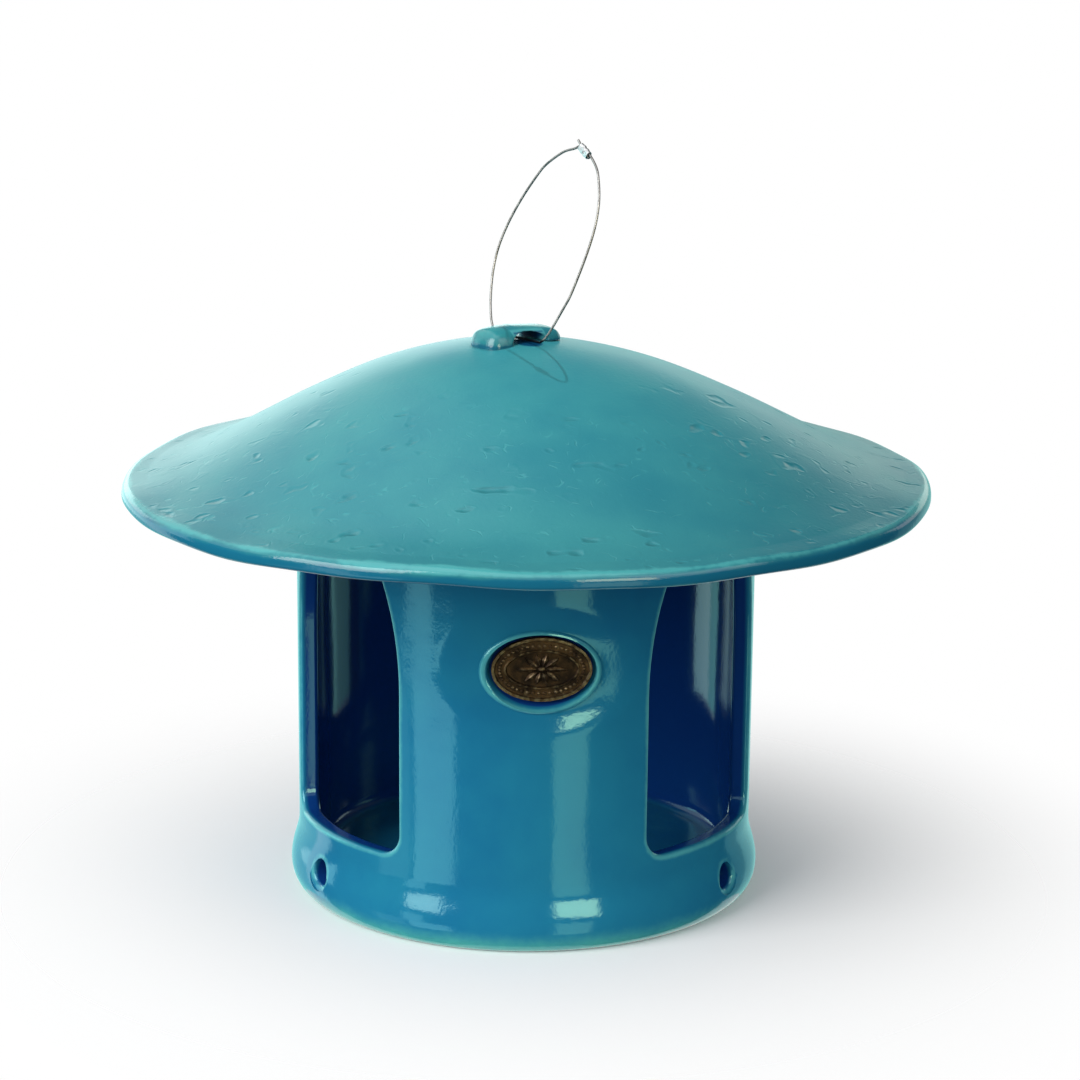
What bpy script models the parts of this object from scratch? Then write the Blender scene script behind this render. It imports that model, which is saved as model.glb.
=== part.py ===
"""Hanging stoneware bird feeder: a thrown drum with three arched windows under a wide domed roof.

Metres, +Z up. The origin is the centre of the foot, and the front of the feeder faces -Y.
Azimuths are counted from the front, positive towards +X.
"""

from math import atan2, cos, degrees, hypot, pi, radians, sin

import bmesh
import bpy
from mathutils import Matrix, Vector

# Fits
SEAT_GAP = 0.0003  # left between two pieces that touch
WIRE_GAP = 0.0001  # left round the wire inside its sleeve

# Drum
DRUM_RADIUS = 0.0744
DRUM_WALL = 0.006
FLOOR_HEIGHT = 0.0075
FLOOR_FILLET = 0.004
FLARE_PROUD = 0.0027  # how far the foot swells past the straight wall
FLARE_HEIGHT = 0.0072  # height of the widest point of the swell
FLARE_TOP = 0.0215  # height where the swell has died into the wall
FOOT_TUCK = 0.0046  # how far the swell draws in again to the foot
FOOT_RING_WIDTH = 0.009
FOOT_RECESS = 0.0015
GLAZED_EDGE = 0.0014  # rounding of the cut edges
# Rounding of a cut edge: shares of it, as depth below the wall's face and widening of the cut.
EDGE_ROUND = ((1.0, 0.0), (0.3, 0.3), (-0.2, 1.5))

# Windows and drain holes
WINDOW_AZIMUTHS = (-55.0, 55.0, 180.0)
WINDOW_WIDTH = 0.0606  # measured round the outside of the wall
SILL_HEIGHT = 0.0272
SILL_CORNER = 0.007
SPRING_HEIGHT = 0.080  # where the straight jambs turn into the arch
ARCH_RISE = 0.057
DRAIN_AZIMUTHS = (-59.3, 59.3, 180.0)
DRAIN_RADIUS = 0.0042
DRAIN_SILL = 0.0013  # lowest point of a drain hole above the inner floor

# Roof
CROWN_HEIGHT = 0.180
EAVES_HEIGHT = 0.131
ROOF_RADIUS = 0.130
ROOF_WALL = 0.006
RIM_WIDTH = 0.0078  # from the crease at the end of the dome to the outer edge
RIM_DEPTH = 0.0055  # from the crease down to the eaves
# Sweep of the dome from the crown to the crease: shares of its radius and of its drop.
ROOF_SWEEP = (
    (0.0, 0.0),
    (0.2, 0.068),
    (0.4, 0.222),
    (0.6, 0.470),
    (0.8, 0.760),
    (0.9, 0.893),
    (1.0, 1.0),
)
# Rim from its crease down and round to the underside: shares of its width in from the outer
# edge, and of its depth up from the eaves.
RIM_SWEEP = (
    (0.955, 0.91),
    (0.88, 0.955),
    (0.62, 0.87),
    (0.36, 0.775),
    (0.15, 0.61),
    (0.035, 0.42),
    (0.0, 0.25),
    (0.045, 0.07),
    (0.2, 0.0),
)

# Badge and its pressed seat
BADGE_AZIMUTH = 4.2
BADGE_HEIGHT = 0.0915
BADGE_WIDTH = 0.0308
BADGE_DEPTH = 0.0201
BADGE_THICKNESS = 0.0018
BADGE_BORDER = 0.0016
BADGE_FIELD = 0.0005  # how far the field lies below the border
SEAT_SINK = 0.003  # depth of the flat seat below the front of the wall
SEAT_MARGIN = 0.0005
SEAT_SLOPE = 0.0021  # how far the seat's side leans out on its way to the lip
LIP_RADIUS = 0.0011
LIP_SINK = 0.0002  # how far the middle of the lip lies below the front of the wall
GLUE_THICKNESS = 0.0004
GLUE_INSET = 0.0022

# Hanging lug
LUG_CENTRE_X = -0.0038
LUG_TURN = 40.0  # turn of the lug's long side from +X, seen from above
LUG_LENGTH = 0.029
LUG_DEPTH = 0.0145
LUG_PROUD = 0.0047  # top of the lug above the crown
LUG_FALL = 0.28  # how much lower the lug is at its far end, as a share of its height
LUG_ROOT = 0.006  # how far the lump of clay is modelled below the crown before it is cut
LUG_FULL = 0.85  # a power below 1 makes a round form fuller: this one is for the lug's outlines
LUG_TOP_FULL = 0.7  # and this one for the swell of its top
TUNNEL_WIDTH = 0.0115
TUNNEL_PROUD = 0.0029  # top of the tunnel above the crown
TUNNEL_FULL = 0.25  # the same kind of power for the tunnel's arch
TUNNEL_FLARE = 0.25  # widening of the tunnel near its mouths, as a share of its width
TUNNEL_STATIONS = (-1.3, -0.85, -0.4, 0.4, 0.85, 1.3)  # along the tunnel, in half depths of the lug

# Hanger wire and crimped sleeve
WIRE_DIAMETER = 0.0008
WIRE_LEAN = 15.0  # lean of the wire's plane from upright, away from the lug's near end
SLEEVE_LENGTH = 0.0051
SLEEVE_WALL = 0.00035
SLEEVE_PINCH = 0.9  # width at the crimp, as a share of the width at the ends
SLEEVE_PLACE = (0.01415, 0.06165)  # along the tunnel and up the wire's plane
SLEEVE_FALL = 29.0  # fall of the sleeve, in degrees
CUT_END = 0.0008  # wire left standing past the sleeve
# Hand-set points of the loop, along the tunnel and up the wire's plane, from the hinge axis.
STUB_TIP = (0.0100, 0.0648)
LEFT_SIDE = (
    (0.0092, 0.0620),
    (0.0040, 0.0603),
    (-0.0025, 0.0559),
    (-0.0061, 0.0517),
    (-0.0114, 0.0433),
    (-0.0153, 0.0350),
    (-0.0176, 0.0268),
    (-0.0178, 0.0189),
    (-0.0164, 0.0112),
    (-0.0148, 0.0062),
    (-0.0126, 0.0021),
    (-0.0092, 0.0002),
)
RIGHT_SIDE = (
    (0.0095, -0.0002),
    (0.0126, 0.0002),
    (0.0150, 0.0026),
    (0.0170, 0.0063),
    (0.0199, 0.0122),
    (0.0217, 0.0162),
    (0.0239, 0.0242),
    (0.0256, 0.0321),
    (0.0264, 0.0398),
    (0.0256, 0.0474),
    (0.0230, 0.0543),
    (0.0208, 0.0575),
)

# Smoothness of the model
TURN_SEGMENTS = 72
SWEEP_STEPS = 3
WIRE_STEPS = 2
ARC_STEPS = 4
ARCH_STEPS = 14
SILL_STEPS = 8
OVAL_SEGMENTS = 32
HOLE_SEGMENTS = 16
LUG_SEGMENTS = 28
LUG_RINGS = 16
LIP_SIDES = 8
WIRE_ROUNDNESS = 2
SHARP_ANGLE = 35.0  # steeper edges than this one stay sharp
CUTTER_REACH = 0.030  # how far a cutter runs past the wall on each side

FINISHES = {
    "drum_glaze": ((0.010, 0.150, 0.310), 0.12, 0.0),
    "roof_glaze": ((0.050, 0.260, 0.310), 0.38, 0.0),
    "badge_bronze": ((0.110, 0.070, 0.040), 0.45, 0.9),
    "badge_adhesive": ((0.550, 0.520, 0.440), 0.6, 0.0),
    "hanger_steel": ((0.330, 0.320, 0.310), 0.35, 1.0),
    "sleeve_aluminium": ((0.700, 0.710, 0.720), 0.4, 1.0),
}


def clear_scene():
    """Removes every object of the open scene."""
    for obj in list(bpy.data.objects):
        bpy.data.objects.remove(obj, do_unlink=True)


def finish(name):
    """The named material: one Principled shader with its colour, roughness and metallic value."""
    material = bpy.data.materials.get(name)
    if material is None:
        colour, roughness, metallic = FINISHES[name]
        material = bpy.data.materials.new(name)
        material.use_nodes = True
        shader = material.node_tree.nodes["Principled BSDF"]
        shader.inputs["Base Color"].default_value = (*colour, 1.0)
        shader.inputs["Roughness"].default_value = roughness
        shader.inputs["Metallic"].default_value = metallic
        material.diffuse_color = (*colour, 1.0)
    return material


def mesh_object(name, bm, material=None):
    """Stores a bmesh as an object, with its faces pointing out and its round faces smooth."""
    bmesh.ops.recalc_face_normals(bm, faces=bm.faces)
    mesh = bpy.data.meshes.new(name)
    bm.to_mesh(mesh)
    bm.free()
    mesh.shade_smooth()
    mesh.set_sharp_from_angle(angle=radians(SHARP_ANGLE))
    if material:
        mesh.materials.append(finish(material))
    obj = bpy.data.objects.new(name, mesh)
    bpy.context.scene.collection.objects.link(obj)
    return obj


def cutter(name, bm):
    """Stores a bmesh as a hidden helper for a Boolean."""
    obj = mesh_object(name, bm)
    obj.hide_render = True
    obj.display_type = "WIRE"
    return obj


def boolean(obj, other, operation):
    """Adds an exact Boolean of other to obj."""
    modifier = obj.modifiers.new(f"{operation.lower()}_{other.name}", "BOOLEAN")
    modifier.operation = operation
    modifier.object = other
    modifier.solver = "EXACT"


def smooth_curve(points, steps, lead=None):
    """Points on a Catmull-Rom curve through points, with steps spans between each pair.

    lead is the point that the curve would come from, for a curve that starts square to the axis.
    """
    first = Vector(lead) if lead else 2 * Vector(points[0]) - Vector(points[1])
    last = 2 * Vector(points[-1]) - Vector(points[-2])
    knots = [first, *[Vector(point) for point in points], last]
    curve = []
    for before, start, stop, after in zip(knots, knots[1:], knots[2:], knots[3:]):
        for step in range(steps):
            t = step / steps
            curve.append(
                0.5
                * (
                    2 * start
                    + (stop - before) * t
                    + (2 * before - 5 * start + 4 * stop - after) * t**2
                    + (3 * start - before - 3 * stop + after) * t**3
                )
            )
    return [*curve, knots[-2]]


def arc(centre, radius, first, last, steps):
    """Points on an arc in the plane, with its angles in degrees."""
    angles = [radians(first + (last - first) * step / steps) for step in range(steps + 1)]
    return [(centre[0] + radius * cos(a), centre[1] + radius * sin(a)) for a in angles]


def turn(bm, profile):
    """Turns a profile of (radius, height) points, whose ends lie on the axis, into a solid."""
    verts = [bm.verts.new((radius, 0, height)) for radius, height in profile]
    edges = [bm.edges.new(pair) for pair in zip(verts, verts[1:])]
    bmesh.ops.spin(
        bm,
        geom=verts + edges,
        cent=(0, 0, 0),
        axis=(0, 0, 1),
        angle=2 * pi,
        steps=TURN_SEGMENTS,
        use_merge=True,
    )
    bmesh.ops.remove_doubles(bm, verts=bm.verts, dist=1e-6)


def loft(bm, rings, closed=False):
    """Solid through rings of equal count, capped at both ends, or closed on itself as a tube is."""
    loops = [[bm.verts.new(point) for point in ring] for ring in rings]
    for lower, upper in zip(loops, [*loops[1:], loops[0]] if closed else loops[1:]):
        for index in range(len(lower)):
            after = (index + 1) % len(lower)
            bm.faces.new((lower[index], lower[after], upper[after], upper[index]))
    if not closed:
        bm.faces.new(loops[0][::-1])
        bm.faces.new(loops[-1])


def wall_frame(azimuth):
    """Unit vectors at an azimuth: out of the wall, and to the right along it seen from outside."""
    angle = radians(azimuth)
    return Vector((sin(angle), -cos(angle), 0)), Vector((cos(angle), sin(angle), 0))


def roof_outside():
    """Outer profile of the dome, from the crown to the crease."""
    reach = ROOF_RADIUS - RIM_WIDTH
    drop = CROWN_HEIGHT - EAVES_HEIGHT - RIM_DEPTH
    points = [(share * reach, CROWN_HEIGHT - fall * drop) for share, fall in ROOF_SWEEP]
    return smooth_curve(points, SWEEP_STEPS, lead=(-points[1][0], points[1][1]))


def offset_profile(profile, distance):
    """The profile moved by distance along its normals, inwards when the distance is positive."""
    moved = []
    for index, point in enumerate(profile):
        before = profile[max(index - 1, 0)]
        after = profile[min(index + 1, len(profile) - 1)]
        along = (after - before).normalized()
        inward = Vector((along.y, -along.x))
        moved.append(point + inward * distance)
    moved[0].x = 0
    return moved


def height_at(profile, radius):
    """Height of a falling profile at a radius."""
    for start, stop in zip(profile, profile[1:]):
        if start.x <= radius <= stop.x:
            return start.y + (stop.y - start.y) * (radius - start.x) / (stop.x - start.x)
    return profile[-1].y


def make_roof():
    """Domed roof: an even shell with a rounded rim outside a shallow crease."""
    outside = roof_outside()
    inside = [p for p in offset_profile(outside, ROOF_WALL) if p.y > EAVES_HEIGHT + ROOF_WALL / 8]
    rim = [(ROOF_RADIUS - a * RIM_WIDTH, EAVES_HEIGHT + b * RIM_DEPTH) for a, b in RIM_SWEEP]
    bm = bmesh.new()
    turn(bm, [*outside, *rim, *reversed(inside)])
    return mesh_object("roof", bm, "roof_glaze")


def wall_radius(height):
    """Outer radius of the drum at a height above the widest point of its swell."""
    share = min(1, (height - FLARE_HEIGHT) / (FLARE_TOP - FLARE_HEIGHT))
    return DRUM_RADIUS + FLARE_PROUD * (1 + cos(pi * share)) / 2


def drum_profile():
    """Profile of the drum, from the middle of the inner floor round the wall to the foot."""
    under_roof = offset_profile(roof_outside(), ROOF_WALL + SEAT_GAP)
    inner = DRUM_RADIUS - DRUM_WALL
    foot = DRUM_RADIUS + FLARE_PROUD - FOOT_TUCK
    fillet_centre = (inner - FLOOR_FILLET, FLOOR_HEIGHT + FLOOR_FILLET)
    profile = [(0, FLOOR_HEIGHT), *arc(fillet_centre, FLOOR_FILLET, -90, 0, ARC_STEPS)]
    for share in (0, 0.5, 1):
        radius = inner + share * DRUM_WALL
        profile.append((radius, height_at(under_roof, radius)))
    for step in range(ARC_STEPS + 2):
        height = FLARE_TOP - (FLARE_TOP - FLARE_HEIGHT) * step / (ARC_STEPS + 1)
        profile.append((wall_radius(height), height))
    for step in range(1, ARC_STEPS + 1):
        angle = pi / 2 * (1 - step / ARC_STEPS)
        profile.append((foot + FOOT_TUCK * sin(angle), FLARE_HEIGHT * (1 - cos(angle))))
    profile.append((foot - FOOT_RING_WIDTH, 0))
    profile.append((foot - FOOT_RING_WIDTH - FOOT_RECESS, FOOT_RECESS))
    profile.append((0, FOOT_RECESS))
    return profile


def window_outline(grow):
    """Outline of a window widened by grow: position round the wall from its centre, and height."""
    half = WINDOW_WIDTH / 2
    middle = half - SILL_CORNER
    corner = SILL_HEIGHT + SILL_CORNER
    left = arc((-middle, corner), SILL_CORNER + grow, 180, 270, ARC_STEPS)
    right = arc((middle, corner), SILL_CORNER + grow, 270, 360, ARC_STEPS)
    sill = []
    for step in range(1, SILL_STEPS):
        sill.append((middle * (2 * step / SILL_STEPS - 1), SILL_HEIGHT - grow))
    arch = []
    for step in range(ARCH_STEPS + 1):
        angle = pi * step / ARCH_STEPS
        rise = (ARCH_RISE + grow) * sin(angle)
        arch.append(((half + grow) * cos(angle), SPRING_HEIGHT + rise))
    return [*left, *sill, *right, *arch]


def cut_stations(outer, inner):
    """Depths from the axis and widenings of a cut whose two edges are rounded."""
    stations = [(inner - CUTTER_REACH, EDGE_ROUND[-1][1] * GLAZED_EDGE)]
    for below, wider in reversed(EDGE_ROUND):
        stations.append((inner + below * GLAZED_EDGE, wider * GLAZED_EDGE))
    for below, wider in EDGE_ROUND:
        stations.append((outer - below * GLAZED_EDGE, wider * GLAZED_EDGE))
    stations.append((outer + CUTTER_REACH, EDGE_ROUND[-1][1] * GLAZED_EDGE))
    return stations


def window_cutter(azimuth):
    """Cutter whose sides all point at the drum's axis, as a knife held square to the wall cuts."""
    rings = []
    for depth, grow in cut_stations(DRUM_RADIUS, DRUM_RADIUS - DRUM_WALL):
        ring = []
        for along, height in window_outline(grow):
            out, _ = wall_frame(azimuth + degrees(along / DRUM_RADIUS))
            ring.append(out * depth + Vector((0, 0, height)))
        rings.append(ring)
    bm = bmesh.new()
    loft(bm, rings)
    return cutter(f"window_cutter_{azimuth:.0f}", bm)


def drain_cutter(azimuth):
    """Round cutter for a drain hole just above the inner floor."""
    out, right = wall_frame(azimuth)
    centre = FLOOR_HEIGHT + DRAIN_SILL + DRAIN_RADIUS
    rings = []
    start = DRUM_RADIUS - DRUM_WALL - FLOOR_FILLET
    for depth, grow in cut_stations(wall_radius(centre), start)[len(EDGE_ROUND) :]:
        radius = DRAIN_RADIUS + grow
        ring = []
        for index in range(HOLE_SEGMENTS):
            angle = 2 * pi * (index + 0.5) / HOLE_SEGMENTS
            up = Vector((0, 0, centre + radius * sin(angle)))
            ring.append(out * depth + right * radius * cos(angle) + up)
        rings.append(ring)
    bm = bmesh.new()
    loft(bm, rings)
    return cutter(f"drain_cutter_{azimuth:.0f}", bm)


def oval(width, height, depth):
    """Oval ring of points in the badge's own frame: x to the right, -y out of the wall, z up."""
    ring = []
    for index in range(OVAL_SEGMENTS):
        angle = 2 * pi * index / OVAL_SEGMENTS
        ring.append(Vector((width / 2 * cos(angle), -depth, height / 2 * sin(angle))))
    return ring


def badge_place():
    """Matrix from the badge's frame to the world: its origin is the centre of the flat seat."""
    out, _ = wall_frame(BADGE_AZIMUTH)
    seat = out * (DRUM_RADIUS - SEAT_SINK) + Vector((0, 0, BADGE_HEIGHT))
    return Matrix.Translation(seat) @ Matrix.Rotation(radians(BADGE_AZIMUTH), 4, "Z")


def seat_cutter():
    """Oval dish with a flat floor and leaning sides, pressed into the wall for the badge."""
    floor = (BADGE_WIDTH + 2 * SEAT_MARGIN, BADGE_DEPTH + 2 * SEAT_MARGIN)
    rise = SEAT_SINK + 2 * LIP_RADIUS
    lean = 2 * SEAT_SLOPE * rise / SEAT_SINK
    bm = bmesh.new()
    loft(bm, [oval(*floor, 0), oval(floor[0] + lean, floor[1] + lean, rise)])
    obj = cutter("badge_seat_cutter", bm)
    obj.matrix_world = badge_place()
    return obj


def seat_lip():
    """Raised lip of clay round the badge's seat, lying on the curved wall."""
    out, right = wall_frame(BADGE_AZIMUTH)
    half_width = BADGE_WIDTH / 2 + SEAT_MARGIN + SEAT_SLOPE
    half_height = BADGE_DEPTH / 2 + SEAT_MARGIN + SEAT_SLOPE
    spine = []
    for index in range(OVAL_SEGMENTS):
        angle = 2 * pi * index / OVAL_SEGMENTS
        round_wall = half_width * cos(angle) / DRUM_RADIUS
        normal = out * cos(round_wall) + right * sin(round_wall)
        height = BADGE_HEIGHT + half_height * sin(angle)
        spine.append((normal, normal * (DRUM_RADIUS - LIP_SINK) + Vector((0, 0, height))))
    rings = []
    for index, (normal, point) in enumerate(spine):
        along = (spine[(index + 1) % OVAL_SEGMENTS][1] - spine[index - 1][1]).normalized()
        across = along.cross(normal).normalized()
        ring = []
        for side in range(LIP_SIDES):
            angle = 2 * pi * (side + 0.5) / LIP_SIDES
            ring.append(point + (across * cos(angle) + normal * sin(angle)) * LIP_RADIUS)
        rings.append(ring)
    bm = bmesh.new()
    loft(bm, rings, closed=True)
    return cutter("badge_lip", bm)


def make_drum():
    """Drum with its floor, windows, drain holes and the badge's pressed seat."""
    bm = bmesh.new()
    turn(bm, drum_profile())
    drum = mesh_object("drum", bm, "drum_glaze")
    for azimuth in WINDOW_AZIMUTHS:
        boolean(drum, window_cutter(azimuth), "DIFFERENCE")
    for azimuth in DRAIN_AZIMUTHS:
        boolean(drum, drain_cutter(azimuth), "DIFFERENCE")
    boolean(drum, seat_lip(), "UNION")
    boolean(drum, seat_cutter(), "DIFFERENCE")
    return drum


def make_badge():
    """Oval medallion: a raised border round a lower field, in its pressed seat."""
    back = SEAT_GAP + GLUE_THICKNESS + SEAT_GAP
    front = back + BADGE_THICKNESS
    inner = (BADGE_WIDTH - 2 * BADGE_BORDER, BADGE_DEPTH - 2 * BADGE_BORDER)
    edge = BADGE_FIELD
    bm = bmesh.new()
    loft(
        bm,
        [
            oval(BADGE_WIDTH, BADGE_DEPTH, back),
            oval(BADGE_WIDTH, BADGE_DEPTH, front - edge),
            oval(BADGE_WIDTH - edge, BADGE_DEPTH - edge, front),
            oval(inner[0] + edge, inner[1] + edge, front),
            oval(inner[0], inner[1], front - BADGE_FIELD),
        ],
    )
    badge = mesh_object("badge", bm, "badge_bronze")
    badge.matrix_world = badge_place()
    bm = bmesh.new()
    width, height = BADGE_WIDTH - 2 * GLUE_INSET, BADGE_DEPTH - 2 * GLUE_INSET
    loft(bm, [oval(width, height, SEAT_GAP), oval(width, height, SEAT_GAP + GLUE_THICKNESS)])
    glue = mesh_object("badge_glue", bm, "badge_adhesive")
    glue.matrix_world = badge_place()
    return badge, glue


def lug_place():
    """Matrix from the lug's frame to the world: x along the tunnel, y along the lug, at the crown."""
    along = Vector((sin(radians(LUG_TURN)), -cos(radians(LUG_TURN)), 0))
    across = Vector((cos(radians(LUG_TURN)), sin(radians(LUG_TURN)), 0))
    turned = Matrix((along, across, Vector((0, 0, 1)))).transposed().to_4x4()
    return Matrix.Translation((LUG_CENTRE_X, 0, CROWN_HEIGHT)) @ turned


def squared(value, power):
    """A sine or cosine drawn towards a square wave, which makes a round form fuller."""
    return abs(value) ** power * (1 if value > 0 else -1)


def lug_level(along):
    """Height of the lug at a place along it, as a share of its full height."""
    share = (along / LUG_LENGTH + 0.1) / 0.6
    return 1 - LUG_FALL * min(1, max(0, share))


def tunnel_cutter():
    """Arched tunnel through the lug, wider at its mouths."""
    rings = []
    for station in TUNNEL_STATIONS:
        width = TUNNEL_WIDTH * (1 + TUNNEL_FLARE * station**4)
        ring = []
        for index in range(HOLE_SEGMENTS + 1):
            angle = pi * index / HOLE_SEGMENTS
            inside = 0 < index < HOLE_SEGMENTS
            along = width / 2 * cos(angle)
            top = LUG_ROOT + TUNNEL_PROUD * lug_level(along)
            rise = top * squared(sin(angle), TUNNEL_FULL) if inside else 0
            place = (station * LUG_DEPTH / 2, along, rise - LUG_ROOT)
            ring.append(Vector(place))
        rings.append(ring)
    bm = bmesh.new()
    loft(bm, rings)
    obj = cutter("tunnel_cutter", bm)
    obj.matrix_world = lug_place()
    return obj


def crown_cutter():
    """The roof's crown, raised by the seat gap, which shapes the underside of the lug."""
    crown = [p for p in offset_profile(roof_outside(), -SEAT_GAP) if p.x < LUG_LENGTH]
    below = CROWN_HEIGHT - 3 * LUG_ROOT
    bm = bmesh.new()
    turn(bm, [*crown, (crown[-1].x, below), (0, below)])
    return cutter("crown_cutter", bm)


def make_lug():
    """Hanging lug: a full lump of clay over the crown, with a tunnel for the wire."""
    bm = bmesh.new()
    bmesh.ops.create_uvsphere(bm, u_segments=LUG_SEGMENTS, v_segments=LUG_RINGS, radius=1.0)
    half_height = (LUG_PROUD + LUG_ROOT) / 2
    for vert in bm.verts:
        level = hypot(vert.co.x, vert.co.y)
        angle = atan2(vert.co.y, vert.co.x)
        fuller = squared(level, LUG_TOP_FULL)
        vert.co.x = fuller * squared(cos(angle), LUG_FULL) * LUG_DEPTH / 2
        vert.co.y = fuller * squared(sin(angle), LUG_FULL) * LUG_LENGTH / 2
        height = squared(vert.co.z, LUG_FULL) * half_height + half_height - LUG_ROOT
        vert.co.z = height * lug_level(vert.co.y) if height > 0 else height
    lug = mesh_object("hanging_lug", bm, "roof_glaze")
    lug.matrix_world = lug_place()
    boolean(lug, tunnel_cutter(), "DIFFERENCE")
    boolean(lug, crown_cutter(), "DIFFERENCE")
    return lug


def hinge_place():
    """Matrix from the wire's frame to the world: x along the hinge axis, z up the wire's plane."""
    lift = SEAT_GAP + WIRE_DIAMETER / 2
    lean = Matrix.Rotation(radians(-WIRE_LEAN), 4, "X")
    return lug_place() @ Matrix.Translation((0, 0, lift)) @ lean


def sleeve_lanes():
    """Points of the two lanes in the sleeve, each from left to right, the lower lane first."""
    along = Vector((cos(radians(SLEEVE_FALL)), -sin(radians(SLEEVE_FALL))))
    across = Vector((sin(radians(SLEEVE_FALL)), cos(radians(SLEEVE_FALL))))
    side = across * (WIRE_DIAMETER + WIRE_GAP) / 2
    half = SLEEVE_LENGTH / 2
    spots = (-half - CUT_END, -half, 0, half, half + CUT_END)
    middle = Vector(SLEEVE_PLACE)
    return [[middle + offset + along * spot for spot in spots] for offset in (-side, side)]


def wire_route():
    """Points on the wire's centre line, from its stub through the sleeve, round the loop and back."""
    lower, upper = sleeve_lanes()
    points = [STUB_TIP, *upper, *reversed(RIGHT_SIDE), *reversed(LEFT_SIDE), *lower]
    return smooth_curve(points, WIRE_STEPS)


def make_hanger():
    """Wire loop and the crimped sleeve that joins its ends, on an empty on the hinge axis."""
    pivot = bpy.data.objects.new("wire_swing_axis", None)
    bpy.context.scene.collection.objects.link(pivot)
    pivot.matrix_world = hinge_place()
    curve = bpy.data.curves.new("hanger_wire", "CURVE")
    curve.dimensions = "3D"
    curve.bevel_depth = WIRE_DIAMETER / 2
    curve.bevel_resolution = WIRE_ROUNDNESS
    curve.use_fill_caps = True
    spline = curve.splines.new("POLY")
    route = wire_route()
    spline.points.add(len(route) - 1)
    for spot, point in zip(spline.points, route):
        spot.co = (point.x, 0, point.y, 1)
    curve.materials.append(finish("hanger_steel"))
    wire = bpy.data.objects.new("hanger_wire", curve)
    bpy.context.scene.collection.objects.link(wire)
    wire.parent = pivot
    make_sleeve().parent = pivot


def stadium(width, height, x):
    """Ring of points round a flat-sided oval, standing across the sleeve at x."""
    flat = (width - height) / 2
    ring = []
    for index in range(HOLE_SEGMENTS):
        angle = 2 * pi * (index + 0.5) / HOLE_SEGMENTS
        side = flat if cos(angle) > 0 else -flat
        ring.append(Vector((x, height / 2 * sin(angle), side + height / 2 * cos(angle))))
    return ring


def make_sleeve():
    """Crimped oval sleeve, open through both lanes and pinched in the middle."""
    bore = WIRE_DIAMETER + 2 * WIRE_GAP
    spread = WIRE_DIAMETER + WIRE_GAP
    half = SLEEVE_LENGTH / 2
    stations = ((-half, 1.0), (-half / 2, 1.0), (0, SLEEVE_PINCH), (half / 2, 1.0), (half, 1.0))
    outer = [
        stadium(bore + spread + 2 * SLEEVE_WALL, (bore + 2 * SLEEVE_WALL) * pinch, x)
        for x, pinch in stations
    ]
    inner = [stadium(bore + spread, bore, x) for x in (half, -half)]
    bm = bmesh.new()
    loft(bm, [*outer, *inner], closed=True)
    sleeve = mesh_object("crimp_sleeve", bm, "sleeve_aluminium")
    sleeve.location = (SLEEVE_PLACE[0], 0, SLEEVE_PLACE[1])
    sleeve.rotation_euler = (0, radians(SLEEVE_FALL), 0)
    return sleeve


def main():
    """Builds the whole feeder."""
    clear_scene()
    make_drum()
    make_roof()
    make_badge()
    make_lug()
    make_hanger()


main()
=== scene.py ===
"""Dressed model of a hanging stoneware bird feeder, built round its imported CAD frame.

Metres, +Z up. The origin is the centre of the foot and the front faces -Y. Azimuths are
counted from the front in degrees, positive towards +X.
"""

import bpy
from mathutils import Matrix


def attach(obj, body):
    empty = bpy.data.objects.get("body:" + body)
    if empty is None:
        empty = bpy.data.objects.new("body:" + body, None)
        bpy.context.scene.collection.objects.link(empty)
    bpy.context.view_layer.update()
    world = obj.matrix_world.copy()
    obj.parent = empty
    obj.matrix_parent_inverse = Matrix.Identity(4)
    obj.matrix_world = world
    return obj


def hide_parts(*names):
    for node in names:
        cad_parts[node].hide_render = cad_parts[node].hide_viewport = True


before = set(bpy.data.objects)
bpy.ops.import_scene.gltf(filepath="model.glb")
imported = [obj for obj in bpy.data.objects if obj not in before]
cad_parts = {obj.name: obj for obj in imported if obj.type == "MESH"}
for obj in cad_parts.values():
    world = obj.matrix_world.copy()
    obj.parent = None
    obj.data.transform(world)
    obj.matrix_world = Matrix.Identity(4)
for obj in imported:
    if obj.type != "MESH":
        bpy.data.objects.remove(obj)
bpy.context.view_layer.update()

import logging
from collections.abc import Callable, Iterator, Sequence
from contextlib import contextmanager
from dataclasses import dataclass, field
from enum import Enum
from math import atan2, cos, degrees, hypot, pi, radians, sin, sqrt

import bmesh
import bpy
from mathutils import Matrix, Vector

LOG = logging.getLogger("feeder")
MM = 0.001

Point = tuple[float, float]
Colour = tuple[float, float, float]
Piece = bpy.types.Object
Material = bpy.types.Material
NodeTree = bpy.types.NodeTree
Node = bpy.types.Node
Socket = bpy.types.NodeSocket
Sockets = bpy.types.bpy_prop_collection


class Body(Enum):
    """The two bodies of the frame that pieces ride on."""

    FEEDER = "feeder"
    HANGER = "hanger"


class Slot(Enum):
    """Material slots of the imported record."""

    DRUM = "drum_glaze"
    ROOF = "roof_glaze"
    BADGE = "badge_bronze"
    GLUE = "badge_adhesive"
    WIRE = "hanger_steel"
    SLEEVE = "sleeve_aluminium"


class Cut(Enum):
    """Booleans used on the clay pieces."""

    TAKE_AWAY = "DIFFERENCE"
    JOIN = "UNION"


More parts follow.
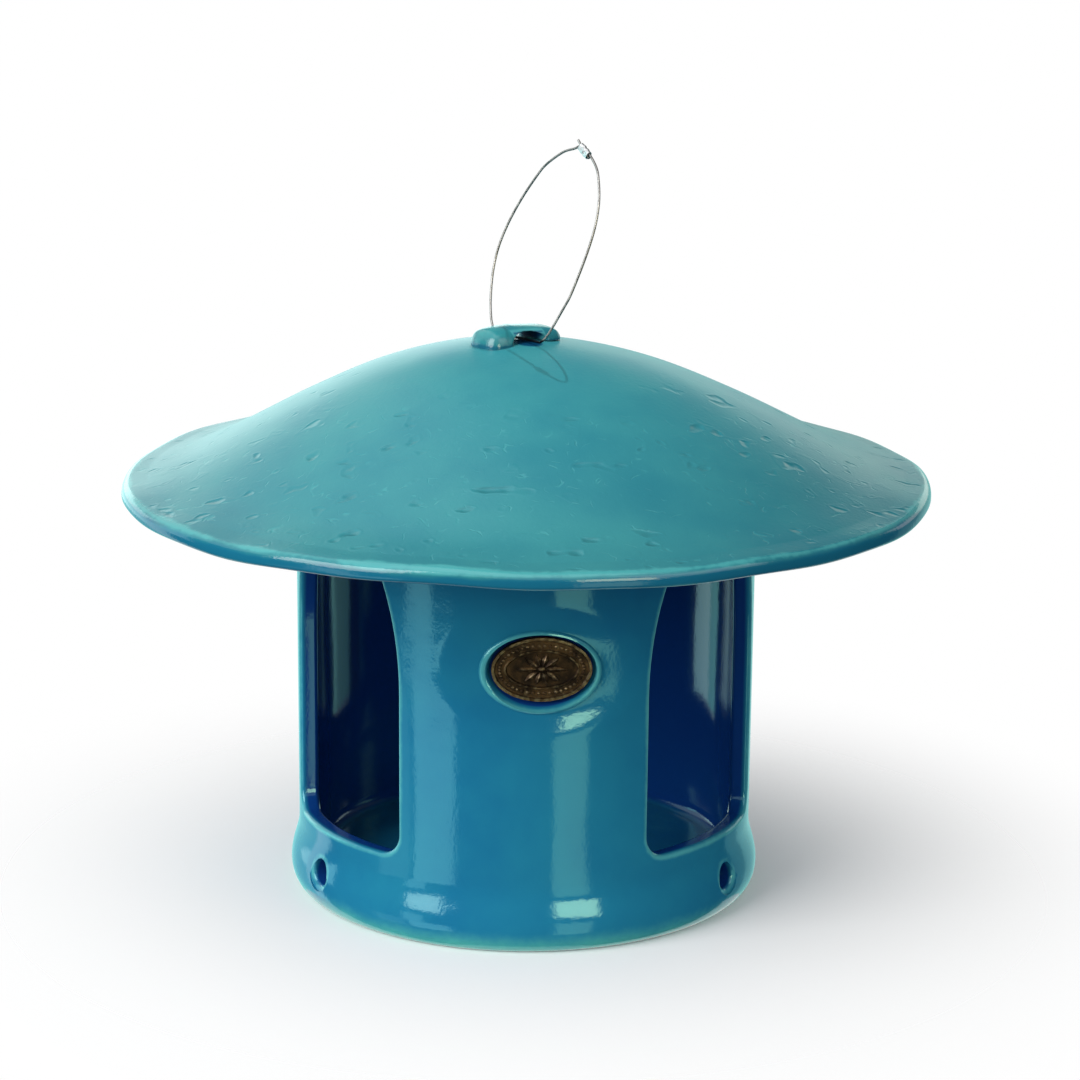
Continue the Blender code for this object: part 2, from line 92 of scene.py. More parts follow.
def smooth_curve(points: Sequence[Point], steps: int, lead: Point | None = None) -> list[Vector]:
    """Draws a Catmull-Rom curve through points.

    Args:
        points: Knots of the curve.
        steps: Spans between each pair of knots.
        lead: The point that the curve would come from, if it starts square to an axis.

    Returns:
        Points along the curve, both ends included.
    """
    first = Vector(lead) if lead else 2 * Vector(points[0]) - Vector(points[1])
    last = 2 * Vector(points[-1]) - Vector(points[-2])
    knots = [first, *[Vector(point) for point in points], last]
    curve = []
    for before, start, stop, after in zip(knots, knots[1:], knots[2:], knots[3:]):
        for step in range(steps):
            t = step / steps
            curve.append(
                0.5
                * (
                    2 * start
                    + (stop - before) * t
                    + (2 * before - 5 * start + 4 * stop - after) * t**2
                    + (3 * start - before - 3 * stop + after) * t**3
                )
            )
    return [*curve, knots[-2]]


def arc(centre: Point, radius: float, first: float, last: float, steps: int) -> list[Point]:
    """Gives points on an arc.

    Args:
        centre: Middle of the arc.
        radius: Its radius.
        first: Angle of the first point, in degrees.
        last: Angle of the last point, in degrees.
        steps: Number of spans.

    Returns:
        The points, both ends included.
    """
    angles = [radians(first + (last - first) * step / steps) for step in range(steps + 1)]
    return [(centre[0] + radius * cos(a), centre[1] + radius * sin(a)) for a in angles]


def offset_line(line: Sequence[Vector], distance: float) -> list[Vector]:
    """Moves a falling profile along its normals.

    Args:
        line: Profile points from the axis outwards.
        distance: How far, inwards when positive.

    Returns:
        The moved profile, which still starts on the axis.
    """
    moved = []
    for index, point in enumerate(line):
        before = line[max(index - 1, 0)]
        after = line[min(index + 1, len(line) - 1)]
        along = (after - before).normalized()
        moved.append(point + Vector((along.y, -along.x)) * distance)
    moved[0].x = 0
    return moved


def height_at(line: Sequence[Vector], radius: float) -> float:
    """Gives the height of a falling profile at a radius.

    Args:
        line: Profile points from the axis outwards.
        radius: Where to read it.

    Returns:
        The height there, or the last one beyond the profile.
    """
    for start, stop in zip(line, line[1:]):
        if start.x <= radius <= stop.x:
            return start.y + (stop.y - start.y) * (radius - start.x) / (stop.x - start.x)
    return line[-1].y


def wall_frame(azimuth: float) -> tuple[Vector, Vector]:
    """Gives the unit vectors out of the wall and to the right along it, at an azimuth."""
    angle = radians(azimuth)
    return Vector((sin(angle), -cos(angle), 0)), Vector((cos(angle), sin(angle), 0))


def sight(azimuth: float, elevation: float) -> Vector:
    """Gives the unit vector from the axis towards an azimuth and an elevation."""
    out, _ = wall_frame(azimuth)
    return out * cos(radians(elevation)) + Vector((0, 0, sin(radians(elevation))))


def bearing(azimuth: float, centre: float) -> float:
    """Gives how far an azimuth lies to the right of a centre, in radians."""
    return radians((azimuth - centre + 180) % 360 - 180)


def around(count: int, shift: float = 0.0) -> list[float]:
    """Gives even angles for a whole turn, moved on by a share of the space between two."""
    return [2 * pi * (index + shift) / count for index in range(count)]


def off_ellipse(across: float, up: float, half: Point) -> float:
    """Gives the distance from an ellipse round the origin.

    Args:
        across: First coordinate of the place.
        up: Second coordinate of the place.
        half: Half size of the ellipse.

    Returns:
        The distance, negative inside the ellipse.
    """
    level = hypot(across / half[0], up / half[1])
    slope = hypot(across / half[0] ** 2, up / half[1] ** 2) / max(level, 1e-6)
    return (level - 1) / max(slope, 1e-6)


def fade(value: float, low: float, high: float) -> float:
    """Eases from 0 at low to 1 at high."""
    t = min(1.0, max(0.0, (value - low) / (high - low)))
    return t * t * (3 - 2 * t)


def focus(obj: Piece) -> None:
    """Selects one object alone and makes it the active one.

    Args:
        obj: The object.
    """
    bpy.ops.object.select_all(action="DESELECT")
    obj.select_set(True)
    bpy.context.view_layer.objects.active = obj


@contextmanager
def editing(obj: Piece) -> Iterator[bmesh.types.BMesh]:
    """Opens one object in edit mode and closes it again.

    Args:
        obj: The mesh object.

    Returns:
        Its edit mesh, for choosing vertices, edges and faces.
    """
    focus(obj)
    bpy.ops.object.mode_set(mode="EDIT")
    yield bmesh.from_edit_mesh(obj.data)
    bpy.ops.object.mode_set(mode="OBJECT")


def start(kind: str, name: str, **settings: object) -> Piece:
    """Adds a primitive to shape.

    Args:
        kind: Name of the primitive, such as plane.
        name: Name of the new object.
        settings: Options of the operator.

    Returns:
        The new object, alone selected.
    """
    bpy.ops.object.select_all(action="DESELECT")
    getattr(bpy.ops.mesh, f"primitive_{kind}_add")(**settings)
    obj = bpy.context.object
    obj.name = obj.data.name = name
    return obj


def apply(obj: Piece, kind: str, **settings: object) -> None:
    """Adds a modifier and applies it.

    Args:
        obj: The object it works on.
        kind: Type of the modifier.
        settings: Its values.
    """
    modifier = obj.modifiers.new(kind.lower(), kind)
    for name, value in settings.items():
        setattr(modifier, name, value)
    focus(obj)
    bpy.ops.object.modifier_apply(modifier=modifier.name)


def carve(obj: Piece, tool: Piece, cut: Cut) -> None:
    """Cuts a tool out of a piece, or joins it on, and throws the tool away.

    Args:
        obj: The piece.
        tool: The shape to cut or join.
        cut: Which of the two.
    """
    apply(obj, "BOOLEAN", object=tool, operation=cut.value, solver="EXACT")
    bpy.data.objects.remove(tool, do_unlink=True)


def place(obj: Piece, matrix: Matrix) -> None:
    """Moves a piece into place and leaves the place in its mesh.

    Args:
        obj: The piece.
        matrix: From the piece's own frame to the world.
    """
    obj.matrix_world = matrix @ obj.matrix_world
    focus(obj)
    bpy.ops.object.transform_apply(location=True, rotation=True, scale=True)


def join(pieces: Sequence[Piece], name: str) -> Piece:
    """Joins pieces into one object.

    Args:
        pieces: The objects, the first of which is kept.
        name: Name of the result.

    Returns:
        The joined object.
    """
    bpy.ops.object.select_all(action="DESELECT")
    for piece in pieces:
        piece.select_set(True)
    bpy.context.view_layer.objects.active = pieces[0]
    bpy.ops.object.join()
    pieces[0].name = pieces[0].data.name = name
    return pieces[0]


def copies(obj: Piece, count: int) -> list[Piece]:
    """Copies a piece, each copy with its own mesh.

    Args:
        obj: The piece.
        count: How many there are to be, the first one included.

    Returns:
        The piece and its copies.
    """
    made = [obj]
    for _ in range(count - 1):
        copy = obj.copy()
        copy.data = obj.data.copy()
        bpy.context.scene.collection.objects.link(copy)
        made.append(copy)
    return made


def lathe(name: str, profile: Sequence[Point], steps: int) -> Piece:
    """Draws a profile vertex by vertex and spins it round the vertical axis.

    Args:
        name: Name of the turned piece.
        profile: Points of radius and height, whose ends lie on the axis.
        steps: Spans round the turn.

    Returns:
        The closed piece.
    """
    obj = start("plane", name, size=MM)
    with editing(obj):
        bpy.ops.mesh.merge(type="CENTER")
        bpy.ops.transform.translate(value=(profile[0][0], 0, profile[0][1]))
        for before, after in zip(profile, profile[1:]):
            move = (after[0] - before[0], 0, after[1] - before[1])
            bpy.ops.mesh.extrude_region_move(TRANSFORM_OT_translate={"value": move})
        bpy.ops.mesh.select_all(action="SELECT")
        bpy.ops.mesh.spin(steps=steps, angle=2 * pi, center=(0, 0, 0), axis=(0, 0, 1))
        bpy.ops.mesh.select_all(action="SELECT")
        bpy.ops.mesh.remove_doubles(threshold=0.000002)
        bpy.ops.mesh.normals_make_consistent(inside=False)
    return obj


def drawn_through(name: str, rings: Sequence[Sequence[Vector]], closed: bool = False) -> Piece:
    """Extrudes a filled ring through further rings of the same count.

    Args:
        name: Name of the piece.
        rings: Points of each ring, in matching order.
        closed: True if the last ring meets the first again, as on a hoop.

    Returns:
        The closed piece.
    """
    obj = start("circle", name, vertices=len(rings[0]), radius=MM, fill_type="NGON")
    with editing(obj) as bm:
        order = bm.verts.layers.int.new("order")
        for index, vert in enumerate(bm.verts):
            vert[order] = index
            vert.co = rings[0][index]
        for ring in [*rings[1:], rings[0]] if closed else rings[1:]:
            bpy.ops.mesh.extrude_region_move()
            bm = bmesh.from_edit_mesh(obj.data)
            order = bm.verts.layers.int["order"]
            for vert in bm.verts:
                if vert.select:
                    vert.co = ring[vert[order]]
        if closed:
            caps = [face for face in bm.faces if len(face.verts) == len(rings[0]) > 4]
            for face in bm.faces:
                face.select = face in caps
            bpy.ops.mesh.delete(type="ONLY_FACE")
        bpy.ops.mesh.select_all(action="SELECT")
        bpy.ops.mesh.remove_doubles(threshold=0.000001)
        bpy.ops.mesh.normals_make_consistent(inside=False)
    return obj


def smooth(obj: Piece, angle: float) -> None:
    """Shades a piece smooth below an angle, with its large faces leading the normals.

    Args:
        obj: The piece.
        angle: Steeper edges than this one, in degrees, stay sharp.
    """
    focus(obj)
    bpy.ops.object.shade_smooth_by_angle(angle=radians(angle))
    apply(obj, "WEIGHTED_NORMAL", keep_sharp=True)


def note(obj: Piece, name: str, values: Sequence[float]) -> None:
    """Writes one number per vertex into a named attribute, for the materials to read."""
    layer = obj.data.attributes.new(name, "FLOAT", "POINT")
    layer.data.foreach_set("value", values)


def hand_in(obj: Piece, body: Body, nodes: Sequence[str], material: Material) -> Piece:
    """Dresses a finished piece and hands it to the frame.

    Args:
        obj: The piece.
        body: The body that it rides on.
        nodes: CAD nodes that it stands for.
        material: Its material.

    Returns:
        The piece.
    """
    obj.data.materials.clear()
    obj.data.materials.append(material)
    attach(obj, body.value)
    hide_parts(*nodes)
    return obj


Feed = Socket | float | Colour | tuple[float, float, float, float]


class Bench:
    """Adds nodes to a tree and joins them up."""

    def __init__(self, tree: NodeTree) -> None:
        """Keeps the tree that the nodes go into."""
        self.tree = tree

    def feed(self, socket: Socket, value: Feed) -> None:
        """Links a socket to another one, or sets its value.

        Args:
            socket: The input.
            value: The output to link it to, or its value. A colour may come without alpha.
        """
        if isinstance(value, Socket):
            self.tree.links.new(value, socket)
        elif isinstance(value, tuple) and len(value) == 3 and socket.type == "RGBA":
            socket.default_value = (*value, 1.0)
        else:
            socket.default_value = value

    def fill(self, node: Node, inputs: dict[str | int, Feed]) -> None:
        """Feeds several inputs of a node, by name or number."""
        for key, value in inputs.items():
            self.feed(node.inputs[key], value)

    def add(self, kind: str, inputs: dict[str | int, Feed], **settings: object) -> Node:
        """Adds a node.

        Args:
            kind: Type of the node, without the leading ShaderNode.
            inputs: Values or links of its inputs, by name or number.
            settings: Its other properties.

        Returns:
            The node.
        """
        node = self.tree.nodes.new(f"ShaderNode{kind}")
        for name, value in settings.items():
            setattr(node, name, value)
        self.fill(node, inputs)
        return node

    def place(self, build: Callable[[str], NodeTree], **inputs: Feed) -> Sockets:
        """Adds a node group, which is built the first time.

        Args:
            build: Function that builds the group under the name it is given.
            inputs: Values or links of the group's inputs.

        Returns:
            The outputs of the new node.
        """
        name = build.__name__
        node = self.add("Group", {}, node_tree=bpy.data.node_groups.get(name) or build(name))
        self.fill(node, inputs)
        return node.outputs

    def math(self, operation: str, a: Feed, b: Feed = 0.0) -> Socket:
        """Adds a sum of one or two values."""
        return self.add("Math", {0: a, 1: b}, operation=operation).outputs[0]

    def plus(self, a: Feed, b: Feed) -> Socket:
        """Adds two values up."""
        return self.math("ADD", a, b)

    def minus(self, a: Feed, b: Feed) -> Socket:
        """Takes the second value from the first."""
        return self.math("SUBTRACT", a, b)

    def times(self, a: Feed, b: Feed) -> Socket:
        """Multiplies two values."""
        return self.math("MULTIPLY", a, b)

    def swing(self, noise: Feed, amount: Feed) -> Socket:
        """Centres a noise on 0 and scales it."""
        return self.times(self.minus(noise, 0.5), amount)

    def ease(
        self, value: Feed, low: Feed, high: Feed, first: Feed = 0.0, last: Feed = 1.0
    ) -> Socket:
        """Eases a value from one result to another.

        Args:
            value: What is eased.
            low: Where the first result is reached.
            high: Where the last result is reached.
            first: The first result.
            last: The last result.

        Returns:
            The eased value.
        """
        inputs = {"Value": value, "From Min": low, "From Max": high}
        inputs |= {"To Min": first, "To Max": last}
        return self.add("MapRange", inputs, interpolation_type="SMOOTHSTEP").outputs["Result"]

    def fall(self, value: Feed, low: Feed, high: Feed) -> Socket:
        """Eases a value from 1 at low to 0 at high."""
        return self.ease(value, low, high, 1.0, 0.0)

    def blend(self, share: Feed, a: Feed, b: Feed) -> Socket:
        """Blends two colours.

        Args:
            share: How much of the second there is.
            a: The first colour.
            b: The second colour.

        Returns:
            The blended colour.
        """
        node = self.add("Mix", {}, data_type="RGBA", blend_type="MIX")
        self.fill(node, {0: share, 6: a, 7: b})
        return node.outputs[2]

    def noise(self, position: Feed, scale: Feed, detail: float = 2.0, warp: float = 0.0) -> Socket:
        """Adds a noise and gives its value."""
        inputs = {"Vector": position, "Scale": scale, "Detail": detail, "Distortion": warp}
        return self.add("TexNoise", inputs).outputs[0]

    def position(self) -> Socket:
        """Gives the place on the piece, in metres."""
        return self.add("TexCoord", {}).outputs["Object"]

    def noted(self, name: str) -> Socket:
        """Gives the number that a piece has noted on its vertices."""
        return self.add("Attribute", {}, attribute_name=name).outputs["Fac"]

    def stretched(self, position: Feed, scale: tuple[float, float, float]) -> Socket:
        """Stretches a position."""
        return self.add("Mapping", {"Vector": position, "Scale": scale}).outputs[0]

    def shifted(self, position: Feed, centre: tuple[float, float, float]) -> Socket:
        """Gives a position as seen from a centre."""
        return self.add("VectorMath", {0: position, 1: centre}, operation="SUBTRACT").outputs[0]

    def length(self, vector: Feed) -> Socket:
        """Gives the length of a vector."""
        return self.add("VectorMath", {0: vector}, operation="LENGTH").outputs["Value"]

    def bump(self, strength: float, distance: float, height: Feed, **over: Feed) -> Socket:
        """Gives the normal of a bump, which may lie over another normal."""
        inputs = {"Strength": strength, "Distance": distance, "Height": height, **over}
        return self.add("Bump", inputs).outputs[0]


def new_group(
    name: str, takes: dict[str, str], gives: dict[str, str]
) -> tuple[Bench, Sockets, Sockets]:
    """Starts a shader node group.

    Args:
        name: Name of the group.
        takes: Names and types of its inputs.
        gives: Names and types of its outputs.

    Returns:
        Its bench, what comes in, and what goes out.
    """
    tree = bpy.data.node_groups.new(name, "ShaderNodeTree")
    for direction, sockets in (("INPUT", takes), ("OUTPUT", gives)):
        for label, kind in sockets.items():
            tree.interface.new_socket(name=label, in_out=direction, socket_type=f"NodeSocket{kind}")
    entry = tree.nodes.new("NodeGroupInput")
    return Bench(tree), entry.outputs, tree.nodes.new("NodeGroupOutput").inputs


def clay_skin(name: str) -> NodeTree:
    """Group for the skin of a fired glaze: fine orange peel over slow, hand-made waves.

    Args:
        name: Name of the group.

    Returns:
        The group, whose height goes into a Bump node.
    """
    takes = {"Position": "Vector", "Peel": "Float", "Grain": "Float", "Wave": "Float"}
    bench, takes, gives = new_group(name, takes, {"Height": "Float"})
    peel = bench.noise(takes["Position"], takes["Grain"], 1.0)
    slow = bench.noise(bench.stretched(takes["Position"], (1.0, 1.0, 0.45)), 34.0, 1.0)
    rings = bench.noise(bench.stretched(takes["Position"], (0.12, 0.12, 1.0)), 110.0, 1.0)
    waves = bench.times(bench.plus(slow, bench.times(rings, 0.18)), takes["Wave"])
    bench.feed(gives["Height"], bench.plus(bench.times(peel, takes["Peel"]), waves))
    return bench.tree


def thin_glaze(name: str) -> NodeTree:
    """Group for the pale line where glaze runs thin over an edge.

    Args:
        name: Name of the group.

    Returns:
        The group: the mask is 1 on the edge and fades over the width, with a ragged border.
    """
    takes = {"Position": "Vector", "Distance": "Float", "Width": "Float", "Ragged": "Float"}
    bench, takes, gives = new_group(name, takes, {"Mask": "Float"})
    rough = bench.minus(bench.noise(takes["Position"], 420.0, 2.0), 0.5)
    slow = bench.swing(bench.noise(takes["Position"], 60.0, 1.0), 2.0)
    shift = bench.times(bench.plus(rough, slow), takes["Ragged"])
    reach = bench.plus(takes["Distance"], shift)
    bench.feed(gives["Mask"], bench.fall(reach, 0.0, takes["Width"]))
    return bench.tree


def pooled_colour(name: str) -> NodeTree:
    """Group for a glaze that lies thicker and thinner in slow patches.

    Args:
        name: Name of the group.

    Returns:
        The group, which gives the mixed colour.
    """
    takes = {"Position": "Vector", "Thick": "Color", "Thin": "Color"}
    takes |= {"Scale": "Float", "Contrast": "Float"}
    bench, takes, gives = new_group(name, takes, {"Colour": "Color"})
    large = bench.noise(takes["Position"], takes["Scale"], 2.0, 0.4)
    small = bench.noise(takes["Position"], bench.times(takes["Scale"], 6.5), 3.0)
    both = bench.plus(large, bench.swing(small, 0.35))
    spread = bench.swing(both, takes["Contrast"])
    share = bench.ease(bench.plus(spread, 0.5), 0.1, 0.9)
    bench.feed(gives["Colour"], bench.blend(share, takes["Thick"], takes["Thin"]))
    return bench.tree


def thumb_dents(name: str) -> NodeTree:
    """Group for scattered shallow dents of uneven outline, as in hand-pressed clay.

    Args:
        name: Name of the group.

    Returns:
        The group: a mask of the hollows, and a height.
    """
    takes = {"Position": "Vector", "Scale": "Float", "Share": "Float"}
    bench, takes, gives = new_group(name, takes, {"Hollow": "Float", "Height": "Float"})
    spots = bench.noise(takes["Position"], takes["Scale"], 1.0)
    start_at = bench.minus(0.80, bench.times(takes["Share"], 0.4))
    hollow = bench.ease(spots, start_at, bench.plus(start_at, 0.20))
    rim = bench.minus(bench.ease(spots, bench.minus(start_at, 0.06), start_at), hollow)
    bench.feed(gives["Hollow"], hollow)
    bench.feed(gives["Height"], bench.minus(bench.times(rim, 0.06), hollow))
    return bench.tree


def hair_scratches(name: str) -> NodeTree:
    """Group for fine, wiggly scratches in short runs.

    Args:
        name: Name of the group.

    Returns:
        The group, whose mask is 1 in a scratch.
    """
    takes = {"Position": "Vector", "Scale": "Float", "Width": "Float", "Amount": "Float"}
    bench, takes, gives = new_group(name, takes, {"Mask": "Float"})
    wiggle = bench.noise(takes["Position"], takes["Scale"], 1.5, 0.6)
    line = bench.math("ABSOLUTE", bench.minus(wiggle, 0.5))
    thread = bench.fall(line, 0.0, takes["Width"])
    where = bench.noise(takes["Position"], bench.times(takes["Scale"], 1.7), 1.0)
    broken = bench.ease(where, bench.minus(1.0, takes["Amount"]), 1.0, 0.0, 3.0)
    bench.feed(gives["Mask"], bench.add("Clamp", {0: bench.times(thread, broken)}).outputs[0])
    return bench.tree


def new_material(name: str) -> tuple[Material, Bench, Node]:
    """Starts a material.

    Args:
        name: Its name.

    Returns:
        The material, its bench and its Principled shader.
    """
    material = bpy.data.materials.new(name)
    material.use_nodes = True
    return material, Bench(material.node_tree), material.node_tree.nodes["Principled BSDF"]


@dataclass(frozen=True)
class DrumGlaze:
    """Glossy deep blue-green glaze of the drum, pale on edges, with painted shade under the roof,
    and dark inside and in the badge's seat with thick glaze and painted shade.
    """

    thick: Colour = (0.0095, 0.153, 0.290)
    thin: Colour = (0.015, 0.203, 0.318)
    # painted shade under the roof: a darker, bluer tone towards the top of the wall
    shade: Colour = (0.004, 0.082, 0.300)
    # thick glaze with painted shade: inside the drum, deep in the window jambs and in the badge's
    # seat
    inside: Colour = (0.0040, 0.042, 0.205)
    edge: Colour = (0.090, 0.430, 0.440)
    foot: Colour = (0.085, 0.440, 0.385)
    mirrored: Colour = (0.50, 1.0, 0.97)  # tints what the glaze reflects
    roughness: float = 0.10
    shade_heights: Point = (0.094, 0.150)
    foot_heights: Point = (0.0070, 0.0086)  # below them, the foot's underside counts as outside
    foot_line: Point = (0.0078, 0.0020)  # its width, and how far its border wanders
    inside_depths: Point = (0.9, 2.4)  # mm below the face, over which the inside's thick glaze and painted shade set in
    edges: tuple[tuple[str, float, float], ...] = (
        ("outer_edge", 1.25, 0.85),  # width in mm, and strength
        ("inner_edge", 0.6, 0.40),
    )
    badge_azimuth: float = 4.2
    badge_height: float = 0.0907
    dish_half: Point = (0.0178, 0.0119)
    dish_reach: Point = (0.95, 1.90)  # from full depth to none, as shares of the half size
    dish: float = 0.0017

    def material(self) -> Material:
        """Builds the material.

        Returns:
            The drum's material.
        """
        material, bench, shader = new_material("drum_glaze_look")
        position = bench.position()
        axes = bench.add("SeparateXYZ", {0: position}).outputs
        place = {"Position": position}
        pool = {"Thick": self.thick, "Thin": self.thin, "Scale": 16.0, "Contrast": 1.3}
        colour = bench.place(pooled_colour, **place, **pool)[0]
        # painted shade under the roof, darker towards the top of the wall
        top = bench.ease(axes[2], *self.shade_heights)
        colour = bench.blend(bench.times(top, 0.75), colour, self.shade)
        above_foot = bench.ease(axes[2], *self.foot_heights)
        # painted shade over thick glaze, setting in with depth below the outer face
        inner = bench.times(bench.ease(bench.noted("depth"), *self.inside_depths), above_foot)
        width, ragged = self.foot_line
        foot = bench.place(thin_glaze, **place, Distance=axes[2], Width=width, Ragged=ragged)[0]
        colour = bench.blend(bench.times(foot, 0.95), colour, self.foot)
        colour = bench.blend(inner, colour, self.inside)
        for name, width, share in self.edges:
            line = {"Distance": bench.noted(name), "Width": width, "Ragged": 0.5}
            mask = bench.times(bench.place(thin_glaze, **place, **line)[0], share)
            colour = bench.blend(mask, colour, self.edge)
        height = bench.place(clay_skin, **place, Peel=0.08, Grain=900.0, Wave=2.6)[0]
        skin = bench.bump(0.5, 0.0006, height)
        looks = {"Base Color": colour, "Roughness": self.roughness, "Specular IOR Level": 0.65}
        looks["Specular Tint"] = self.mirrored
        dished = self.dished(bench, position, axes)
        looks["Normal"] = bench.bump(1.0, self.dish, dished, Normal=skin)
        bench.fill(shader, looks)
        return material

    def dished(self, bench: Bench, position: Socket, axes: Sockets) -> Socket:
        """Presses the wall in a little all round the badge.

        Args:
            bench: Bench of the drum's material.
            position: Place on the drum.
            axes: Its three coordinates.

        Returns:
            The height of the wall, 0 at the badge and 1 away from it.
        """
        _, right = wall_frame(self.badge_azimuth)
        across = bench.add("VectorMath", {0: position, 1: tuple(right)}, operation="DOT_PRODUCT")
        across = bench.math("DIVIDE", across.outputs["Value"], self.dish_half[0])
        up = bench.math("DIVIDE", bench.minus(axes[2], self.badge_height), self.dish_half[1])
        level = bench.length(bench.add("CombineXYZ", {0: across, 1: up}).outputs[0])
        behind = bench.math("GREATER_THAN", axes[1], 0.0)
        return bench.math("MAXIMUM", bench.ease(level, *self.dish_reach), behind)


@dataclass(frozen=True)
class RoofGlaze:
    """Satin blue-green glaze of the roof, with dimples and fine scratches, painted shade on the
    rim's lower face and at the lug's tunnel mouths.
    """

    thick: Colour = (0.017, 0.180, 0.225)
    thin: Colour = (0.034, 0.236, 0.258)
    edge: Colour = (0.085, 0.420, 0.420)
    # painted shade on the rim's lower face
    under: Colour = (0.008, 0.137, 0.226)
    pit: Colour = (0.010, 0.110, 0.140)
    # painted shade at the lug's tunnel mouths, over glaze pooled there
    pool: Colour = (0.003, 0.050, 0.120)
    roughness: float = 0.36
    wet: float = 0.13  # roughness of the rim and of the shaded, pooled patches at the tunnel mouths
    rim_start: float = 0.1274  # radius where the rim begins
    rim_heights: Point = (0.1336, 0.1354)  # the rim is painted dark below them, as shade on its lower face
    rim_wander: float = 0.0022
    top_line: tuple[float, float, float] = (0.0017, 0.0022, 0.62)  # width, raggedness, strength
    drip_line: tuple[float, float, float] = (0.0009, 0.0004, 0.35)
    drip_height: float = 0.1310
    plain: Point = (0.035, 0.080)  # radii between which dents and scratches set in
    mark_tint: float = 0.20  # how much dents and scratches change the colour
    lug_turn: float = 40.0
    lug_x: float = -0.0038
    pool_reach: float = 0.0060  # from the lug's middle to that of the painted shade at each tunnel mouth
    pool_half: Point = (0.0060, 0.0050)  # half size of each patch of painted shade

    def from_lug(self, bench: Bench, position: Socket) -> Socket:
        """Measures how far a place is from the nearer of the lug's two dark patches: painted shade
        at the tunnel mouths, glossy as pooled glaze.

        Args:
            bench: Bench of the roof's material.
            position: Place on the roof.

        Returns:
            The distance from the patch's middle, as a share of its half size.
        """
        moved = bench.shifted(position, (self.lug_x, 0.0, 0.0))
        turn = {"Vector": moved, "Angle": radians(90 - self.lug_turn)}
        turned = bench.add("VectorRotate", turn, rotation_type="Z_AXIS").outputs[0]
        either = bench.add("VectorMath", {0: turned}, operation="ABSOLUTE").outputs[0]
        moved = bench.shifted(either, (self.pool_reach, 0.0, 0.0))
        along, across = self.pool_half
        return bench.length(bench.stretched(moved, (1 / along, 1 / across, 0.0)))

    def rimmed(
        self, bench: Bench, position: Socket, radius: Socket, colour: Feed
    ) -> tuple[Socket, Socket]:
        """Colours the rim: painted shade below, with a pale line on top and a faint one at the
        drip.

        Args:
            bench: Bench of the roof's material.
            position: Place on the roof.
            radius: Its distance from the axis.
            colour: Colour of the glaze without the rim.

        Returns:
            The colour, and a mask of the rim.
        """
        on_rim = bench.ease(radius, self.rim_start, self.rim_start + 0.0008)
        height = bench.add("SeparateXYZ", {0: position}).outputs[2]
        rough = bench.swing(bench.noise(position, 110.0, 3.0), self.rim_wander)
        # painted shade on the rim's lower face, below a wandering height
        lower = bench.times(bench.fall(bench.plus(height, rough), *self.rim_heights), on_rim)
        colour = bench.blend(lower, colour, self.under)
        lip = bench.math("ABSOLUTE", bench.minus(radius, self.rim_start + 0.0011))
        bottom = bench.minus(height, self.drip_height)
        for distance, (width, ragged, share), where in (
            (lip, self.top_line, bench.ease(height, 0.1345, 0.1355)),
            (bottom, self.drip_line, on_rim),
        ):
            line = {"Position": position, "Distance": distance, "Width": width, "Ragged": ragged}
            mask = bench.times(bench.times(bench.place(thin_glaze, **line)[0], where), share)
            colour = bench.blend(mask, colour, self.edge)
        return colour, on_rim

    def material(self) -> Material:
        """Builds the material.

        Returns:
            The roof's material.
        """
        material, bench, shader = new_material("roof_glaze_look")
        position = bench.position()
        place = {"Position": position}
        radius = bench.length(bench.stretched(position, (1.0, 1.0, 0.0)))
        off_rim = bench.fall(radius, self.rim_start - 0.002, self.rim_start)
        marked = bench.times(bench.ease(radius, *self.plain), off_rim)
        lain = bench.stretched(position, (0.7, 1.0, 1.4))
        dents = bench.place(thumb_dents, Position=lain, Scale=150.0, Share=0.42)
        scratch = bench.place(hair_scratches, **place, Scale=130.0, Width=0.028, Amount=0.51)[0]
        scratch = bench.times(scratch, marked)
        pool = {"Thick": self.thick, "Thin": self.thin, "Scale": 11.0, "Contrast": 1.6}
        colour = bench.place(pooled_colour, **place, **pool)[0]
        hollow = bench.times(dents["Hollow"], marked)
        colour = bench.blend(bench.times(hollow, self.mark_tint), colour, self.pit)
        colour = bench.blend(bench.times(scratch, self.mark_tint), colour, self.edge)
        # painted shade at the tunnel mouths, glossier as pooled glaze
        tunnel_pool_and_shade = bench.fall(self.from_lug(bench, position), 0.70, 1.05)
        colour = bench.blend(tunnel_pool_and_shade, colour, self.pool)
        colour, on_rim = self.rimmed(bench, position, radius, colour)
        skin = bench.place(clay_skin, **place, Peel=0.16, Grain=700.0, Wave=1.2)[0]
        soft = bench.bump(0.55, 0.0005, bench.minus(skin, bench.times(scratch, 0.30)))
        deep = bench.bump(0.9, 0.0007, bench.times(dents["Height"], marked), Normal=soft)
        gloss = bench.math("MAXIMUM", on_rim, tunnel_pool_and_shade)
        looks = {"Base Color": colour, "Specular IOR Level": 0.40, "Normal": deep}
        looks["Roughness"] = bench.ease(gloss, 0.0, 1.0, self.roughness, self.wet)
        bench.fill(shader, looks)
        return material


